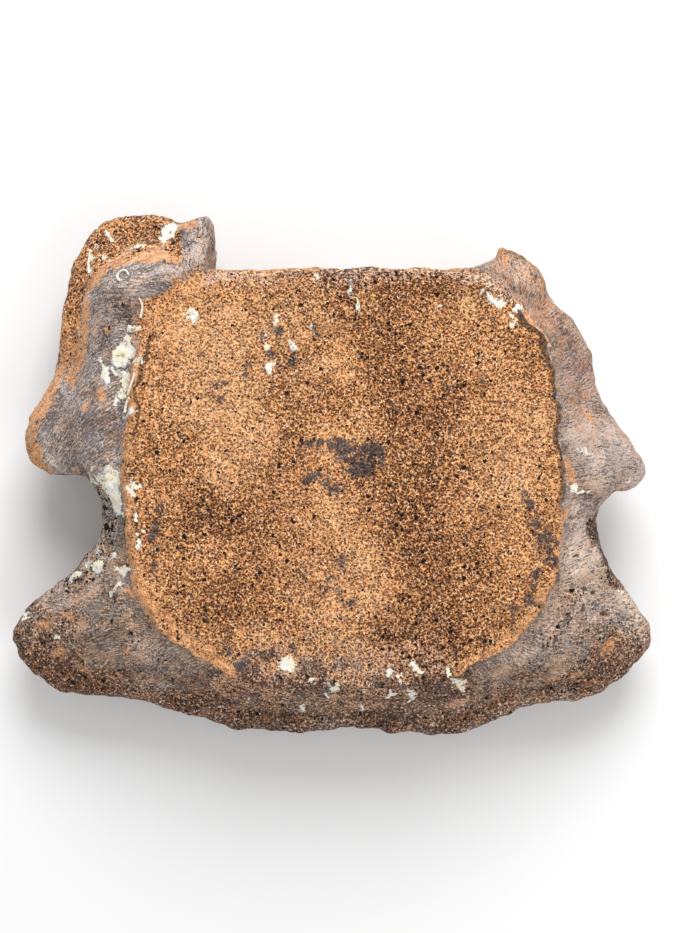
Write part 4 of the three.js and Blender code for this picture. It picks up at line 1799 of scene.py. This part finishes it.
@dataclass(frozen=True)
class SoftLight:
    """A square soft light that points at the bone: its place and its side in metres, its power in watts."""

    name: str
    place: Triple
    side: float
    power: float

    def hang(self) -> None:
        """Hangs the light in the scene."""
        light = bpy.data.lights.new(self.name, "AREA")
        light.size = self.side
        light.energy = self.power
        lamp = bpy.data.objects.new(self.name, light)
        lamp.location = self.place
        way = np.array(self.place) / np.linalg.norm(self.place)
        lamp.rotation_euler = (math.acos(way[2]), 0, math.atan2(way[1], way[0]) + math.pi / 2)
        bpy.context.scene.collection.objects.link(lamp)


@dataclass
class Studio:
    """The pale floor, the soft lights and the camera above the bone, with lengths in millimetres."""

    eye_height: float = 778
    eye_x: float = 6.3
    eye_y: float = 3.36
    sharp_height: float = 28
    view_height: float = 326.6
    sensor: float = 36
    floor: Colour = (0.86, 0.86, 0.86)
    floor_half: float = 8000
    key: SoftLight = SoftLight("key", (0.1, 0.85, 0.8), 0.7, 13)
    fill: SoftLight = SoftLight("fill", (0.6, -0.6, 0.8), 0.8, 3.5)
    surround: float = 0.55

    def lay_floor(self) -> None:
        """Lays a wide pale floor under the bone."""
        half = self.floor_half * MM
        edge = [(-half, -half, 0), (half, -half, 0), (half, half, 0), (-half, half, 0)]
        mesh = bpy.data.meshes.new("floor")
        mesh.from_pydata(edge, [], [(0, 1, 2, 3)])
        inputs = {"Base Color": self.floor, "Roughness": 0.9, "Specular IOR Level": 0.1}
        mesh.materials.append(Shader("pale_floor").finish(inputs))
        floor = bpy.data.objects.new("floor", mesh)
        bpy.context.scene.collection.objects.link(floor)

    def light(self) -> None:
        """Hangs a soft key light on the dorsal side and a weak fill, in an even surround."""
        self.key.hang()
        self.fill.hang()
        world = bpy.data.worlds.new("surround")
        world.use_nodes = True
        background = world.node_tree.nodes["Background"].inputs
        background["Color"].default_value = (1, 1, 1, 1)
        background["Strength"].default_value = self.surround
        bpy.context.scene.world = world
        bpy.context.scene.view_settings.view_transform = "Standard"

    def set_camera(self) -> None:
        """Sets a camera that looks straight down, with the animal's back to the top of the picture."""
        camera = bpy.data.cameras.new("camera")
        camera.sensor_fit = "VERTICAL"
        camera.sensor_height = self.sensor
        camera.lens = self.sensor * (self.eye_height - self.sharp_height) / self.view_height
        eye = bpy.data.objects.new("camera", camera)
        eye.location = (self.eye_x * MM, self.eye_y * MM, self.eye_height * MM)
        bpy.context.scene.collection.objects.link(eye)
        bpy.context.scene.camera = eye


@dataclass
class Vertebra:
    """The whole bone: two spongy faces, the outer bone around them and what the sea left on it."""

    form: BoneForm = BoneForm()
    steps: int = 300

    def build(self) -> list[bpy.types.Object]:
        """Makes the pieces, hides the solids and sets the pieces on the frame.

        Returns:
            The pieces.
        """
        finish = WeatheredBone().build()
        outer = OuterBone(self.form, self.steps, finish).build()
        upper = SpongyFace(Side.UPPER, self.form, self.steps, finish).build()
        lower = SpongyFace(Side.LOWER, self.form, self.steps, finish).build()
        tubes = WormTubes(outer, finish).build()
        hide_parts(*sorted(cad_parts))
        pieces = [outer, upper, lower, tubes]
        for piece, slot in zip(pieces, (CORTICAL, SPONGY, SPONGY, CORTICAL)):
            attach(piece, ROOT)
        return pieces


def main() -> None:
    """Builds the bone and the studio, and reports each piece."""
    logging.basicConfig(level=logging.INFO, format="%(message)s")
    studio = Studio()
    studio.set_camera()
    studio.lay_floor()
    studio.light()
    for piece in Vertebra().build():
        mesh = piece.data
        logging.info("%s: %d points, %d faces", piece.name, len(mesh.vertices), len(mesh.polygons))


if __name__ == "__main__":
    main()
